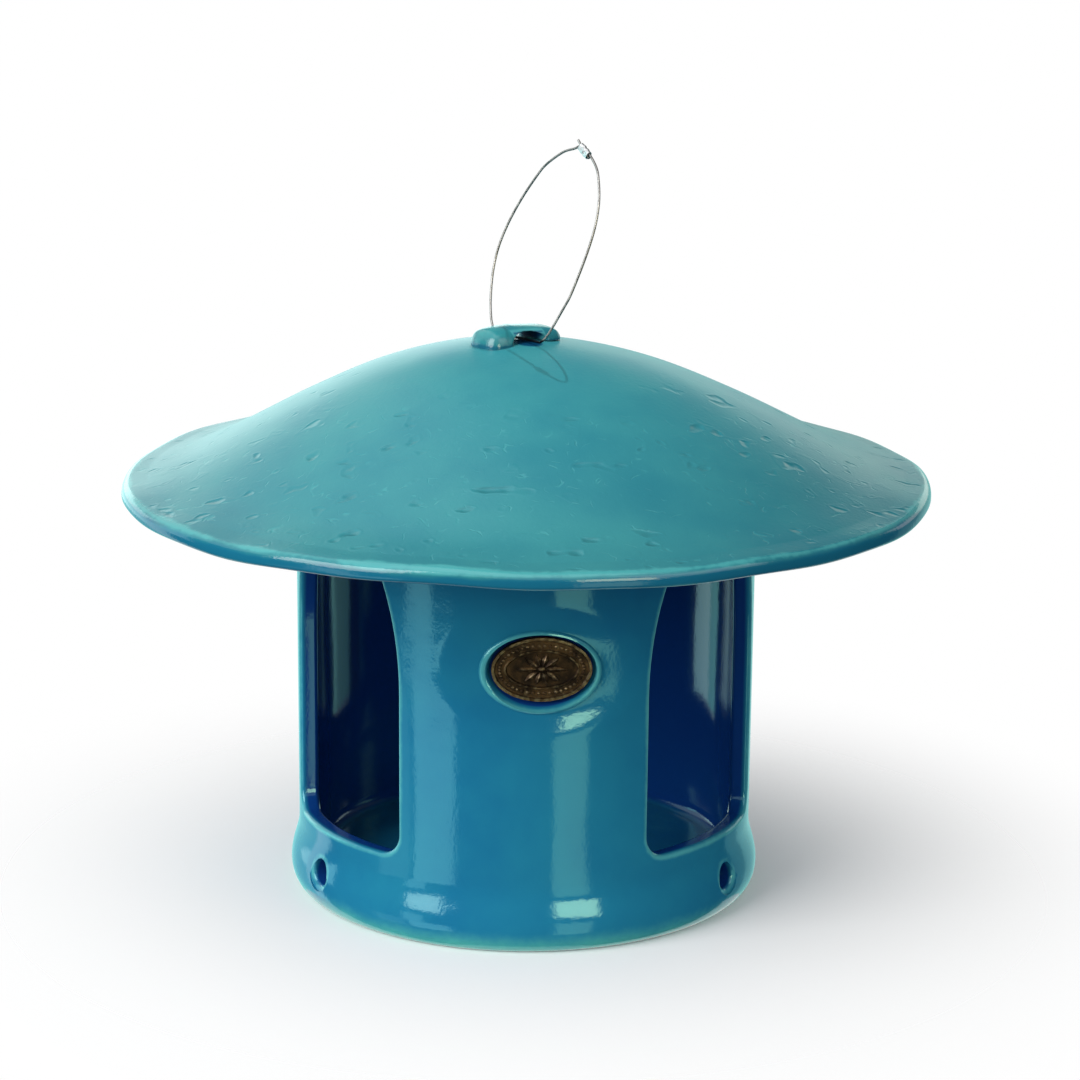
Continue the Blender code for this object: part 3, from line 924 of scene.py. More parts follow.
@dataclass(frozen=True)
class LugGlaze:
    """Glossy glaze on the pulled clay lug, pale along the tunnel's edges, with painted shade in the
    tunnel and round its foot, where glaze also pools.
    """

    thick: Colour = (0.012, 0.150, 0.190)
    thin: Colour = (0.030, 0.250, 0.260)
    edge: Colour = (0.080, 0.380, 0.390)
    # painted shade inside the tunnel and round the lug's foot, where glaze also pools
    hollow: Colour = (0.003, 0.055, 0.150)
    roughness: float = 0.20

    def material(self) -> Material:
        """Builds the material.

        Returns:
            The lug's material.
        """
        material, bench, shader = new_material("lug_glaze_look")
        place = {"Position": bench.position()}
        pool = {"Thick": self.thick, "Thin": self.thin, "Scale": 90.0, "Contrast": 1.4}
        colour = bench.place(pooled_colour, **place, **pool)[0]
        # painted shade deeper inside the tunnel
        depth = bench.noted("tunnel_edge")
        colour = bench.blend(bench.ease(depth, -0.3, 0.6), colour, self.hollow)
        # painted shade round the lug's foot, where it meets the roof
        joint_shade = bench.ease(bench.noted("above_roof"), -0.6, 0.7, 0.55, 0.0)
        colour = bench.blend(joint_shade, colour, self.hollow)
        line = {"Distance": bench.math("ABSOLUTE", depth), "Width": 0.7, "Ragged": 0.3}
        thin = bench.place(thin_glaze, **place, **line)[0]
        colour = bench.blend(bench.times(thin, 0.6), colour, self.edge)
        height = bench.place(clay_skin, **place, Peel=0.3, Grain=800.0, Wave=2.0)[0]
        looks = {"Base Color": colour, "Roughness": self.roughness}
        looks["Normal"] = bench.bump(0.4, 0.0004, height)
        bench.fill(shader, looks)
        return material


@dataclass(frozen=True)
class AgedBronze:
    """Dark cast bronze, rubbed bright on its high places."""

    dark: Colour = (0.014, 0.008, 0.005)
    warm: Colour = (0.080, 0.045, 0.020)
    rubbed: Colour = (0.290, 0.215, 0.125)
    roughness: float = 0.36

    def material(self) -> Material:
        """Builds the material.

        Returns:
            The badge's material.
        """
        material, bench, shader = new_material("aged_bronze_look")
        position = bench.position()
        pool = {"Thick": self.dark, "Thin": self.warm, "Scale": 170.0, "Contrast": 2.0}
        colour = bench.place(pooled_colour, Position=position, **pool)[0]
        relief, patch = bench.noted("relief"), bench.swing(bench.noise(position, 620.0, 3.0), 2.6)
        worn = bench.ease(bench.plus(relief, patch), 0.50, 1.55)
        looks = {"Base Color": bench.blend(bench.times(worn, 0.8), colour, self.rubbed)}
        looks["Metallic"] = 0.85
        looks["Roughness"] = bench.ease(worn, 0.0, 1.0, self.roughness + 0.15, 0.30)
        looks["Normal"] = bench.bump(0.5, 0.00012, bench.noise(position, 2600.0, 3.0))
        bench.fill(shader, looks)
        return material


@dataclass(frozen=True)
class DrawnMetal:
    """Drawn or pressed bare metal with a dull grain along its length, painted dark below a set
    height as shade.
    """

    name: str
    colour: Colour
    dull: Colour
    roughness: float
    grain: tuple[float, float, float] = (1.0, 1.0, 0.2)
    # colour of the painted shade
    stain: Colour = (0.006, 0.010, 0.016)
    stain_top: float = 0.0  # height up to which the metal is painted dark, as shade in the lug's tunnel

    def material(self) -> Material:
        """Builds the material.

        Returns:
            The metal's material.
        """
        material, bench, shader = new_material(self.name)
        position = bench.position()
        streak = bench.noise(bench.stretched(position, self.grain), 1900.0, 3.0)
        patch = bench.noise(position, 160.0, 2.0)
        share = bench.ease(bench.times(bench.plus(streak, patch), 0.5), 0.35, 0.65)
        colour = bench.blend(share, self.dull, self.colour)
        height = bench.add("SeparateXYZ", {0: position}).outputs[2]
        # painted shade where the wire runs through the lug's tunnel
        in_wire_shade = bench.fall(height, self.stain_top - 0.0012, self.stain_top)
        looks = {"Base Color": bench.blend(in_wire_shade, colour, self.stain), "Metallic": 1.0}
        low, high = self.roughness - 0.06, self.roughness + 0.12
        looks["Roughness"] = bench.ease(patch, 0.3, 0.7, low, high)
        looks["Normal"] = bench.bump(0.25, 0.00005, streak)
        bench.fill(shader, looks)
        return material


@dataclass(frozen=True)
class CuredGlue:
    """Clear-cream adhesive that shows round the badge."""

    colour: Colour = (0.42, 0.38, 0.28)

    def material(self) -> Material:
        """Builds the material.

        Returns:
            The adhesive's material.
        """
        material, bench, shader = new_material("cured_glue_look")
        haze = bench.noise(bench.position(), 500.0, 3.0)
        dim = tuple(0.7 * part for part in self.colour)
        looks = {"Base Color": bench.blend(haze, self.colour, dim), "Roughness": 0.5}
        looks["Normal"] = bench.bump(0.3, 0.0001, haze)
        bench.fill(shader, looks)
        return material


@dataclass
class Roof:
    """Domed roof: an even shell that ends in an upright, rounded rim."""

    crown: float = 0.180
    eaves: float = 0.131
    radius: float = 0.130
    wall: float = 0.006
    rim_width: float = 0.0078
    rim_depth: float = 0.0055
    sweep: tuple[Point, ...] = (
        (0, 0),
        (0.2, 0.068),
        (0.4, 0.222),
        (0.6, 0.470),
        (0.8, 0.760),
        (0.9, 0.893),
        (1, 0.982),
    )
    rim_sweep: tuple[Point, ...] = (
        (0.64, 1.055),
        (0.385, 0.98),
        (0.22, 0.91),
        (0.09, 0.78),
        (0.02, 0.60),
        (0, 0.36),
        (0.013, 0.16),
        (0.09, 0.04),
        (0.2, 0),
    )
    crown_lean: float = -0.0034
    lean_reach: float = 0.115
    ripple: float = 0.00045  # how far the hand-cut rim wanders up and down
    ripple_start: float = 0.110
    waves: tuple[tuple[float, float, float], ...] = (  # number round the rim, size, turn
        (3, 1.0, 0.8),
        (7, 0.7, 2.0),
        (17, 0.45, 0.0),
    )
    sweep_steps: int = 12
    segments: int = 288
    finish: RoofGlaze = field(default_factory=RoofGlaze)

    def outside(self) -> list[Vector]:
        """Gives the outer profile of the dome, from the crown to the rim.

        Returns:
            Its points.
        """
        reach = self.radius - self.rim_width
        drop = self.crown - self.eaves - self.rim_depth
        points = [(share * reach, self.crown - fall * drop) for share, fall in self.sweep]
        return smooth_curve(points, self.sweep_steps, lead=(-points[1][0], points[1][1]))

    def profile(self) -> list[Point]:
        """Gives the whole profile: dome, rim and inside.

        Returns:
            Its points, from the crown's outside to its inside.
        """
        outside = self.outside()
        stop = self.eaves + self.wall / 8
        inside = [point for point in offset_line(outside, self.wall) if point.y > stop]
        knots = [
            (self.radius - inwards * self.rim_width, self.eaves + up * self.rim_depth)
            for inwards, up in self.rim_sweep
        ]
        rim = smooth_curve(knots, 5)
        return [tuple(point) for point in (*outside, *rim, *reversed(inside))]

    def build(self) -> list[Piece]:
        """Turns the roof, leans its crown as the hand-thrown one does, and dresses it.

        Returns:
            The roof.
        """
        roof = lathe("glazed_roof", self.profile(), self.segments)
        with editing(roof) as bm:
            for vert in bm.verts:
                radius, angle = hypot(vert.co.x, vert.co.y), atan2(vert.co.y, vert.co.x)
                share = radius / self.lean_reach
                vert.co.x += self.crown_lean * max(0.0, 1 - share**2) ** 2
                wave = sum(size * sin(count * angle + turn) for count, size, turn in self.waves)
                vert.co.z += self.ripple * fade(radius, self.ripple_start, self.radius) * wave
        smooth(roof, 50)
        return [hand_in(roof, Body.FEEDER, ["roof"], self.finish.material())]


@dataclass
class Drum:
    """Thrown drum with three arched windows, three drain holes and the badge's pressed seat."""

    roof: Roof
    radius: float = 0.0744
    wall: float = 0.006
    floor: float = 0.0075
    fillet: float = 0.004
    flare_proud: float = 0.0027
    flare_height: float = 0.0072
    flare_top: float = 0.0215
    foot_tuck: float = 0.0046
    foot_ring: float = 0.009
    foot_recess: float = 0.0015
    roof_gap: float = 0.0003  # stands in for the luted joint
    edge: float = 0.0014
    edge_round: tuple[Point, ...] = ((1, 0), (0.62, 0.08), (0.3, 0.3), (0.08, 0.62), (-0.2, 1.5))
    window_azimuths: tuple[float, ...] = (-55.0, 55.0, 180.0)
    window_width: float = 0.0606
    sill: float = 0.0272
    sill_corner: float = 0.007
    spring: float = 0.080
    arch_rise: float = 0.057
    drain_azimuths: tuple[float, ...] = (-59.3, 59.3, 180.0)
    drain_radius: float = 0.0042
    drain_height: float = 0.013
    seat_azimuth: float = 4.2
    seat_height: float = 0.0915
    seat_size: Point = (0.0318, 0.0211)
    seat_sink: float = 0.003
    seat_steps: tuple[Point, ...] = (  # rise above the seat's floor, and widening
        (0.0, -0.0005),
        (0.0002, -0.0001),
        (0.0006, 0.0),
        (0.003, 0.0),
        (0.0052, 0.0),
    )
    seat_heel: float = 0.0006  # up to here the seat widens more slowly
    lip_shift: Point = (-0.0003, -0.0008)  # the lip sits a little left of and below the floor
    lip_half: Point = (0.0178, 0.0119)
    lip_radius: float = 0.0011
    lip_spread: float = 1.25  # its width as a share of its height
    lip_sink: float = 0.0002
    lip_crest: float = 0.0007  # how far the pale line on the lip lies out from the wall
    lip_pale: float = 0.85  # narrows the distances there, which widens the line
    seat_level: float = 0.97  # the seat's floor, as a share of the lip's half size
    seat_shade: float = 1.7  # painted shade: the seat darkens this much sooner with depth
    row: float = 0.003  # height of one row of faces on the wall
    segments: int = 216
    finish: DrumGlaze = field(default_factory=DrumGlaze)

    def wall_radius(self, height: float) -> float:
        """Gives the outer radius above the widest point of the foot's swell."""
        share = min(1, max(0, (height - self.flare_height) / (self.flare_top - self.flare_height)))
        return self.radius + self.flare_proud * (1 + cos(pi * share)) / 2

    def profile(self) -> list[Point]:
        """Gives the profile, from the middle of the inner floor round the wall to the foot.

        Returns:
            Its points.
        """
        under_roof = offset_line(self.roof.outside(), self.roof.wall + self.roof_gap)
        inner = self.radius - self.wall
        foot = self.radius + self.flare_proud - self.foot_tuck
        centre = (inner - self.fillet, self.floor + self.fillet)
        profile = [(0, self.floor), (inner / 2, self.floor), *arc(centre, self.fillet, -90, 0, 8)]
        top = height_at(under_roof, inner)
        rows = int((top - centre[1]) / self.row)
        for step in range(1, rows):
            profile.append((inner, centre[1] + (top - centre[1]) * step / rows))
        for share in (0, 0.5, 1):
            radius = inner + share * self.wall
            profile.append((radius, height_at(under_roof, radius)))
        top = profile[-1][1]
        for step in range(1, rows):
            profile.append((self.radius, top + (self.flare_top - top) * step / rows))
        for step in range(9):
            height = self.flare_top - (self.flare_top - self.flare_height) * step / 8
            profile.append((self.wall_radius(height), height))
        for step in range(1, 9):
            angle = pi / 2 * (1 - step / 8)
            height = self.flare_height * (1 - cos(angle))
            profile.append((foot + self.foot_tuck * sin(angle), height))
        ring, recess = foot - self.foot_ring, self.foot_recess
        return [*profile, (ring, 0), (ring - recess, recess), (0, recess)]

    def window_outline(self, grow: float) -> list[Point]:
        """Gives a window's outline widened by grow: place round the wall, and height.

        Args:
            grow: How much wider than the window it is, all round.

        Returns:
            Its points.
        """
        half = self.window_width / 2
        middle = half - self.sill_corner
        corner = self.sill + self.sill_corner
        left = arc((-middle, corner), self.sill_corner + grow, 180, 270, 10)
        right = arc((middle, corner), self.sill_corner + grow, 270, 360, 10)
        sill = [(middle * (step / 8 - 1), self.sill - grow) for step in range(1, 16)]
        arch = []
        for step in range(49):
            angle = pi * step / 48
            height = self.spring + (self.arch_rise + grow) * sin(angle)
            arch.append(((half + grow) * cos(angle), height))
        return [*left, *sill, *right, *arch]

    def stations(self, outer: float, inner: float) -> list[Point]:
        """Gives depths from the axis and widenings of a cut whose two edges are rounded.

        Args:
            outer: Radius of the wall's outer face.
            inner: Radius of its inner face.

        Returns:
            A depth and a widening for each ring of the cutter.
        """
        far = self.edge_round[-1][1] * self.edge
        inside = [(inner + deep * self.edge, wide * self.edge) for deep, wide in self.edge_round]
        outside = [(outer - deep * self.edge, wide * self.edge) for deep, wide in self.edge_round]
        return [(inner - 0.03, far), *reversed(inside), *outside, (outer + 0.03, far)]

    def window_tool(self, azimuth: float) -> Piece:
        """Makes the cutter of one window, whose sides all point at the axis.

        Args:
            azimuth: Where the window is.

        Returns:
            The cutter.
        """
        rings = []
        for depth, grow in self.stations(self.radius, self.radius - self.wall):
            ring = []
            for along, height in self.window_outline(grow):
                out, _ = wall_frame(azimuth + degrees(along / self.radius))
                ring.append(out * depth + Vector((0, 0, height)))
            rings.append(ring)
        return drawn_through("window_tool", rings)

    def drain_tool(self, azimuth: float) -> Piece:
        """Makes the round cutter of one drain hole.

        Args:
            azimuth: Where the hole is.

        Returns:
            The cutter.
        """
        out, right = wall_frame(azimuth)
        inner = self.radius - self.wall - self.fillet
        rings = []
        stations = self.stations(self.wall_radius(self.drain_height), inner)
        for depth, grow in stations[len(self.edge_round) :]:  # its inner edge is left sharp
            ring = []
            for angle in around(40, 0.5):
                reach = self.drain_radius + grow
                up = Vector((0, 0, self.drain_height + reach * sin(angle)))
                ring.append(out * depth + right * reach * cos(angle) + up)
            rings.append(ring)
        return drawn_through("drain_tool", rings)

    def seat_matrix(self) -> Matrix:
        """Gives the badge's frame: x right, y up, z out of the wall, from the seat's centre.

        Returns:
            The matrix from that frame to the world.
        """
        out, right = wall_frame(self.seat_azimuth)
        turned = Matrix((right, Vector((0, 0, 1)), out)).transposed().to_4x4()
        seat = out * (self.radius - self.seat_sink) + Vector((0, 0, self.seat_height))
        return Matrix.Translation(seat) @ turned

    def seat_tool(self) -> Piece:
        """Makes the dish that is pressed into the wall for the badge.

        Returns:
            The cutter, in place.
        """
        rings = []
        floor = (self.seat_size[0] / 2, self.seat_size[1] / 2)
        for rise, grow in self.seat_steps:
            share = rise / self.seat_sink * (1 if rise > self.seat_heel else 0.6)
            half = [a + (b - a) * share + grow for a, b in zip(floor, self.lip_half)]
            middle = [shift * share for shift in self.lip_shift]
            ring = []
            for angle in around(96):
                across, up = middle[0] + half[0] * cos(angle), middle[1] + half[1] * sin(angle)
                ring.append(Vector((across, up, rise)))
            rings.append(ring)
        tool = drawn_through("seat_tool", rings)
        place(tool, self.seat_matrix())
        return tool

    def lip(self) -> Piece:
        """Makes the raised lip of clay round the seat, which lies on the curved wall.

        Returns:
            The lip, in place.
        """
        out, right = wall_frame(self.seat_azimuth)
        spine = []
        for angle in around(96):
            turn = (self.lip_shift[0] + self.lip_half[0] * cos(angle)) / self.radius
            normal = out * cos(turn) + right * sin(turn)
            height = self.seat_height + self.lip_shift[1] + self.lip_half[1] * sin(angle)
            up = Vector((0, 0, height))
            spine.append((normal, normal * (self.radius - self.lip_sink) + up))
        rings = []
        for index, (normal, point) in enumerate(spine):
            along = (spine[(index + 1) % len(spine)][1] - spine[index - 1][1]).normalized()
            across = along.cross(normal).normalized()
            ring = []
            for angle in around(14, 0.5):
                off = across * cos(angle) * self.lip_spread + normal * sin(angle)
                ring.append(point + off * self.lip_radius)
            rings.append(ring)
        return drawn_through("seat_lip", rings, closed=True)

    def window_distance(self, along: float, height: float) -> float:
        """Gives the signed distance from a window's outline on the unrolled wall.

        Args:
            along: Place along the wall from the window's middle.
            height: Height above the foot.

        Returns:
            The distance, negative inside the window.
        """
        half = self.window_width / 2
        if height >= self.spring:
            return off_ellipse(along, height - self.spring, (half, self.arch_rise))
        corner = self.sill_corner
        side, below = abs(along) - half + corner, self.sill + corner - height
        if side > 0 and below > 0:
            return hypot(side, below) - corner
        return max(side, below) - corner

    def face_radius(self, height: float) -> float:
        """Gives the radius of the drum's outer face at any height.

        Args:
            height: Height above the foot.

        Returns:
            The radius.
        """
        if height >= self.flare_height:
            return self.wall_radius(height)
        sine = sqrt(max(0.0, 1 - (1 - max(0.0, height) / self.flare_height) ** 2))
        return self.radius + self.flare_proud - self.foot_tuck * (1 - sine)

    def edge_distances(self, point: Vector) -> tuple[float, float, float]:
        """Gives the distances in mm from the nearest outer and inner edge, and below the face.

        Args:
            point: A place on the drum.

        Returns:
            The three distances.
        """
        azimuth = degrees(atan2(point.x, -point.y))
        radius = hypot(point.x, point.y)
        outer = self.wall_radius(point.z)
        cuts, drains = [], []
        for centre in self.window_azimuths:
            along = bearing(azimuth, centre) * self.radius
            cuts.append(self.window_distance(along, point.z))
        for centre in self.drain_azimuths:
            along = bearing(azimuth, centre) * outer
            drains.append(hypot(along, point.z - self.drain_height) - self.drain_radius)
        across = bearing(azimuth, self.seat_azimuth) * self.radius - self.lip_shift[0]
        up = point.z - self.seat_height - self.lip_shift[1]
        lip = off_ellipse(across, up, self.lip_half)
        in_seat = hypot(across / self.lip_half[0], up / self.lip_half[1]) < self.seat_level
        from_face = outer - radius
        window = min(cuts, key=abs)
        aside, sunk = 0.7 * self.edge, 0.3 * self.edge  # the thinnest line of a rounded edge
        outer_edge = min(
            hypot(window - aside, from_face - sunk),
            hypot(min(drains, key=abs) - aside, from_face - sunk),
            hypot(lip, from_face + self.lip_crest) * self.lip_pale,
        )
        inner_edge = hypot(window, radius - self.radius + self.wall)
        depth = (self.face_radius(point.z) - radius) * (self.seat_shade if in_seat else 1.0)
        return outer_edge / MM, inner_edge / MM, depth / MM

    def build(self) -> list[Piece]:
        """Throws the drum, cuts it and dresses it.

        Returns:
            The drum.
        """
        drum = lathe("glazed_drum", self.profile(), self.segments)
        for azimuth in self.window_azimuths:
            carve(drum, self.window_tool(azimuth), Cut.TAKE_AWAY)
        for azimuth in self.drain_azimuths:
            carve(drum, self.drain_tool(azimuth), Cut.TAKE_AWAY)
        carve(drum, self.lip(), Cut.JOIN)
        carve(drum, self.seat_tool(), Cut.TAKE_AWAY)
        smooth(drum, 50)
        distances = [self.edge_distances(vert.co) for vert in drum.data.vertices]
        for index, name in enumerate(("outer_edge", "inner_edge", "depth")):
            note(drum, name, [row[index] for row in distances])
        return [hand_in(drum, Body.FEEDER, ["drum"], self.finish.material())]


@dataclass
class HangingLug:
    """Full lump of clay pressed over the crown, with an arched tunnel for the wire."""

    roof: Roof
    centre_x: float = -0.0038
    turn: float = 40.0
    length: float = 0.029
    depth: float = 0.0145
    proud: float = 0.0047
    root: float = 0.006
    swell: tuple[float, float, float] = (1.12, 1.06, 1.10)  # makes up for what rounding takes
    corner: float = 0.0052
    skirt: tuple[float, float, float] = (0.56, 0.535, 0.0016)  # shares of depth, length; height
    seat_radius: float = 0.030  # how much of the crown shapes its underside
    tunnel_width: float = 0.0115
    tunnel_proud: float = 0.0034
    tunnel_flare: float = 0.25
    fall: float = 0.28
    voxel: float = 0.00027
    finish: LugGlaze = field(default_factory=LugGlaze)

    def matrix(self) -> Matrix:
        """Gives the lug's frame: x along the tunnel, y along the lug, z up from the crown.

        Returns:
            The matrix from that frame to the world.
        """
        angle = radians(self.turn)
        rows = Matrix(((sin(angle), -cos(angle), 0), (cos(angle), sin(angle), 0), (0, 0, 1)))
        return Matrix.Translation((self.centre_x, 0, self.roof.crown)) @ rows.transposed().to_4x4()

    def lump(self) -> Piece:
        """Makes the rounded lump with a low skirt where the clay is smeared onto the roof.

        Returns:
            The lump, in the lug's frame.
        """
        tall = self.proud + self.root
        body = start("cube", "lump", size=1.0)
        with editing(body):
            wide, long, high = self.swell
            size = (self.depth * wide, self.length * long, tall * high)
            bpy.ops.transform.resize(value=size)
            bpy.ops.transform.translate(value=(0, 0, self.proud - tall / 2 - 0.0001))
            bpy.ops.mesh.select_all(action="SELECT")
            bpy.ops.mesh.bevel(offset=self.corner, segments=2, affect="EDGES")
        apply(body, "SUBSURF", levels=3, render_levels=3)
        skirt = start("uv_sphere", "skirt", segments=48, ring_count=24, radius=1.0)
        with editing(skirt):
            wide, long, high = self.skirt
            bpy.ops.transform.resize(value=(self.depth * wide, self.length * long, high))
            bpy.ops.transform.translate(value=(0, 0, -0.0002))
        carve(body, skirt, Cut.JOIN)
        return body

    def tunnel_tool(self) -> Piece:
        """Makes the arched cutter, wider at its mouths.

        Returns:
            The cutter, in the lug's frame.
        """
        rings = []
        tall = self.root + self.tunnel_proud
        for station in (-1.3, -1.0, -0.85, -0.6, -0.3, 0.3, 0.6, 0.85, 1.0, 1.3):
            width = self.tunnel_width * (1 + self.tunnel_flare * station**4)
            ring = []
            for index in range(33):
                angle = pi * index / 32
                rise = tall * abs(sin(angle)) ** 0.25 if 0 < index < 32 else 0
                spot = (station * self.depth / 2, width / 2 * cos(angle), rise - self.root)
                ring.append(Vector(spot))
            rings.append(ring)
        return drawn_through("tunnel_tool", rings)

    def crown_tool(self) -> Piece:
        """Makes the crown of the roof, which shapes the underside of the lug.

        Returns:
            The cutter, in place.
        """
        crown = [tuple(point) for point in self.roof.outside() if point.x < self.seat_radius]
        below = self.roof.crown - 0.018
        return lathe("crown_tool", [*crown, (crown[-1][0], below), (0, below)], 96)

    def level(self, along: float) -> float:
        """Gives the height at a place along the lug, as a share of its full height."""
        return 1 - self.fall * min(1.0, max(0.0, (along / self.length + 0.1) / 0.6))

    def tunnel_depth(self, point: Vector) -> float:
        """Gives how deep inside the tunnel a point lies in mm, negative outside it.

        Args:
            point: A place in the lug's frame.

        Returns:
            The depth in mm.
        """
        across = self.tunnel_width / 2 * 1.08 - abs(point.y)
        inward = self.depth / 2 - 0.0006 - abs(point.x)
        above = self.tunnel_proud + 0.0003 - point.z
        return min(across, inward, above) / MM

    def build(self) -> list[Piece]:
        """Models the lug and dresses it.

        Returns:
            The lug.
        """
        lug = self.lump()
        carve(lug, self.tunnel_tool(), Cut.TAKE_AWAY)
        apply(lug, "REMESH", mode="VOXEL", voxel_size=self.voxel)
        apply(lug, "SMOOTH", factor=0.6, iterations=9)
        note(lug, "tunnel_edge", [self.tunnel_depth(vert.co) for vert in lug.data.vertices])
        note(lug, "above_roof", [vert.co.z / MM for vert in lug.data.vertices])
        with editing(lug) as bm:
            for vert in bm.verts:
                if vert.co.z > 0:
                    vert.co.z *= self.level(vert.co.y)
        place(lug, self.matrix())
        carve(lug, self.crown_tool(), Cut.TAKE_AWAY)
        lug.name = lug.data.name = "glazed_lug"
        smooth(lug, 60)
        return [hand_in(lug, Body.FEEDER, ["hanging_lug"], self.finish.material())]


@dataclass
class Badge:
    """Oval cast medallion with a ring of beads and a leaf rosette, glued into its seat."""

    drum: Drum
    width: float = 0.0308
    height: float = 0.0201
    back: float = 0.001
    thickness: float = 0.0018
    border: float = 0.0008
    glue_inset: float = 0.0022
    glue_levels: Point = (0.0003, 0.0007)  # its back and its face, above the seat
    beads: int = 46
    bead_radius: float = 0.00052
    bead_inset: float = 0.0017  # from the border to the beads' middles
    face_steps: tuple[Point, ...] = (  # inset and rise, after the border
        (0.00035, -0.00045),
        (0.0026, 0.0),
        (0.00025, 0.0003),
        (0.0003, 0.0),
        (0.0004, -0.0005),
        (0.0012, -0.00008),
    )
    leaves: int = 10
    leaf_tips: Point = (0.0082, 0.0049)  # half size of the oval that the leaves point to
    leaf_share: float = 0.84  # how far along the way to it they reach
    leaf_size: Point = (0.0019, 0.00042)  # width and half thickness
    leaf_roots: Point = (0.0011, 0.0008)  # half size of the oval that they start from
    relief_low: float = 0.0007  # depth below the border at which the relief counts as 0
    finish: AgedBronze = field(default_factory=AgedBronze)
    glue_finish: CuredGlue = field(default_factory=CuredGlue)

    def disc(self, name: str, shrink: float, low: float, high: float) -> Piece:
        """Makes a plain oval disc in the badge's frame.

        Args:
            name: Name of the disc.
            shrink: How much less than the badge it measures across.
            low: Height of its back above the seat.
            high: Height of its face.

        Returns:
            The disc.
        """
        disc = start("cylinder", name, vertices=96, radius=0.5, depth=1.0)
        with editing(disc):
            size = (self.width - shrink, self.height - shrink, high - low)
            bpy.ops.transform.resize(value=size)
            bpy.ops.transform.translate(value=(0, 0, (high + low) / 2))
        return disc

    def medal(self) -> Piece:
        """Makes the oval body with its rim, the ring for the beads and the sunk middle.

        Returns:
            The body, in the badge's frame.
        """
        top = self.back + self.thickness
        medal = self.disc("medal", 0, self.back, top)
        with editing(medal) as bm:
            bpy.ops.mesh.select_all(action="DESELECT")
            for face in bm.faces:
                face.select = face.normal.z > 0.9
            for thickness, depth in ((self.border, 0.0), *self.face_steps):
                bpy.ops.mesh.inset(thickness=thickness, depth=depth)
            bpy.ops.mesh.select_all(action="DESELECT")
            bm = bmesh.from_edit_mesh(medal.data)
            for edge in bm.edges:
                level = edge.verts[0].co.z == edge.verts[1].co.z
                high = edge.verts[0].co.z > top - 0.00001
                rim = len(edge.link_faces) == 2 and edge.calc_face_angle() > 0.5
                edge.select = level and high and rim
            bpy.ops.mesh.bevel(offset=0.00028, segments=3, affect="EDGES")
        return medal

    def bead_ring(self) -> Piece:
        """Makes the ring of half-sunk beads, one modelled and the rest copied.

        Returns:
            The ring, in the badge's frame.
        """
        level = self.back + self.thickness - 0.00045
        inset = self.border + self.bead_inset
        across, up = self.width / 2 - inset, self.height / 2 - inset
        bead = start("uv_sphere", "bead", segments=12, ring_count=8, radius=self.bead_radius)
        with editing(bead):
            bpy.ops.transform.resize(value=(1.0, 1.0, 0.75))
        beads = copies(bead, self.beads)
        for angle, bead in zip(around(self.beads), beads):
            spot = (across * cos(angle), up * sin(angle), level)
            bead.matrix_world = Matrix.Translation(spot)
        return join(beads, "bead_ring")

    def leaf(self, length: float) -> Piece:
        """Makes one pointed leaf with a raised rib, lying along x from the origin.

        Args:
            length: Its length.

        Returns:
            The leaf.
        """
        leaf = start("uv_sphere", "leaf", segments=20, ring_count=14, radius=1.0)
        width, thick = self.leaf_size
        with editing(leaf) as bm:
            bpy.ops.transform.resize(value=(length / 2, width / 2, thick))
            for vert in bm.verts:
                share = abs(vert.co.x) / (length / 2)
                vert.co.y *= sqrt(max(0.0, 1 - share**1.6)) * 1.05
                rib = max(0.0, 1 - abs(vert.co.y) / (width * 0.12))
                vert.co.z *= 1 + 0.5 * rib
            bpy.ops.transform.translate(value=(length / 2, 0, 0))
        return leaf

    def rosette(self) -> Piece:
        """Makes a plain rosette of ten leaves round a boss, wider than it is high.

        Returns:
            The rosette, in the badge's frame.
        """
        level = self.back + self.thickness - 0.0006
        boss = start("uv_sphere", "boss", segments=20, ring_count=12, radius=0.0013)
        with editing(boss):
            bpy.ops.transform.resize(value=(1.0, 0.8, 0.45))
        boss.matrix_world = Matrix.Translation((0, 0, level))
        pieces = [boss]
        wide, high = self.leaf_tips
        for angle in around(self.leaves):
            length = self.leaf_share / hypot(cos(angle) / wide, sin(angle) / high)
            leaf = self.leaf(length)
            root = (self.leaf_roots[0] * cos(angle), self.leaf_roots[1] * sin(angle), level)
            leaf.matrix_world = Matrix.Translation(root) @ Matrix.Rotation(angle, 4, "Z")
            pieces.append(leaf)
        return join(pieces, "rosette")

    def build(self) -> list[Piece]:
        """Casts the badge, beds it in its glue and dresses both.

        Returns:
            The badge and its glue.
        """
        badge = join([self.medal(), self.bead_ring(), self.rosette()], "bronze_badge")
        place(badge, Matrix.Identity(4))
        low = self.back + self.thickness - self.relief_low
        relief = [(vert.co.z - low) / self.relief_low for vert in badge.data.vertices]
        note(badge, "relief", relief)
        place(badge, self.drum.seat_matrix())
        smooth(badge, 40)
        glue = self.disc("badge_bed", 2 * self.glue_inset, *self.glue_levels)
        with editing(glue) as bm:
            for edge in bm.edges:
                edge.select = abs(edge.verts[0].co.z - edge.verts[1].co.z) < 0.00001
            bpy.ops.mesh.bevel(offset=0.00012, segments=2, affect="EDGES")
        place(glue, self.drum.seat_matrix())
        smooth(glue, 40)
        return [
            hand_in(badge, Body.FEEDER, ["badge"], self.finish.material()),
            hand_in(glue, Body.FEEDER, ["badge_glue"], self.glue_finish.material()),
        ]


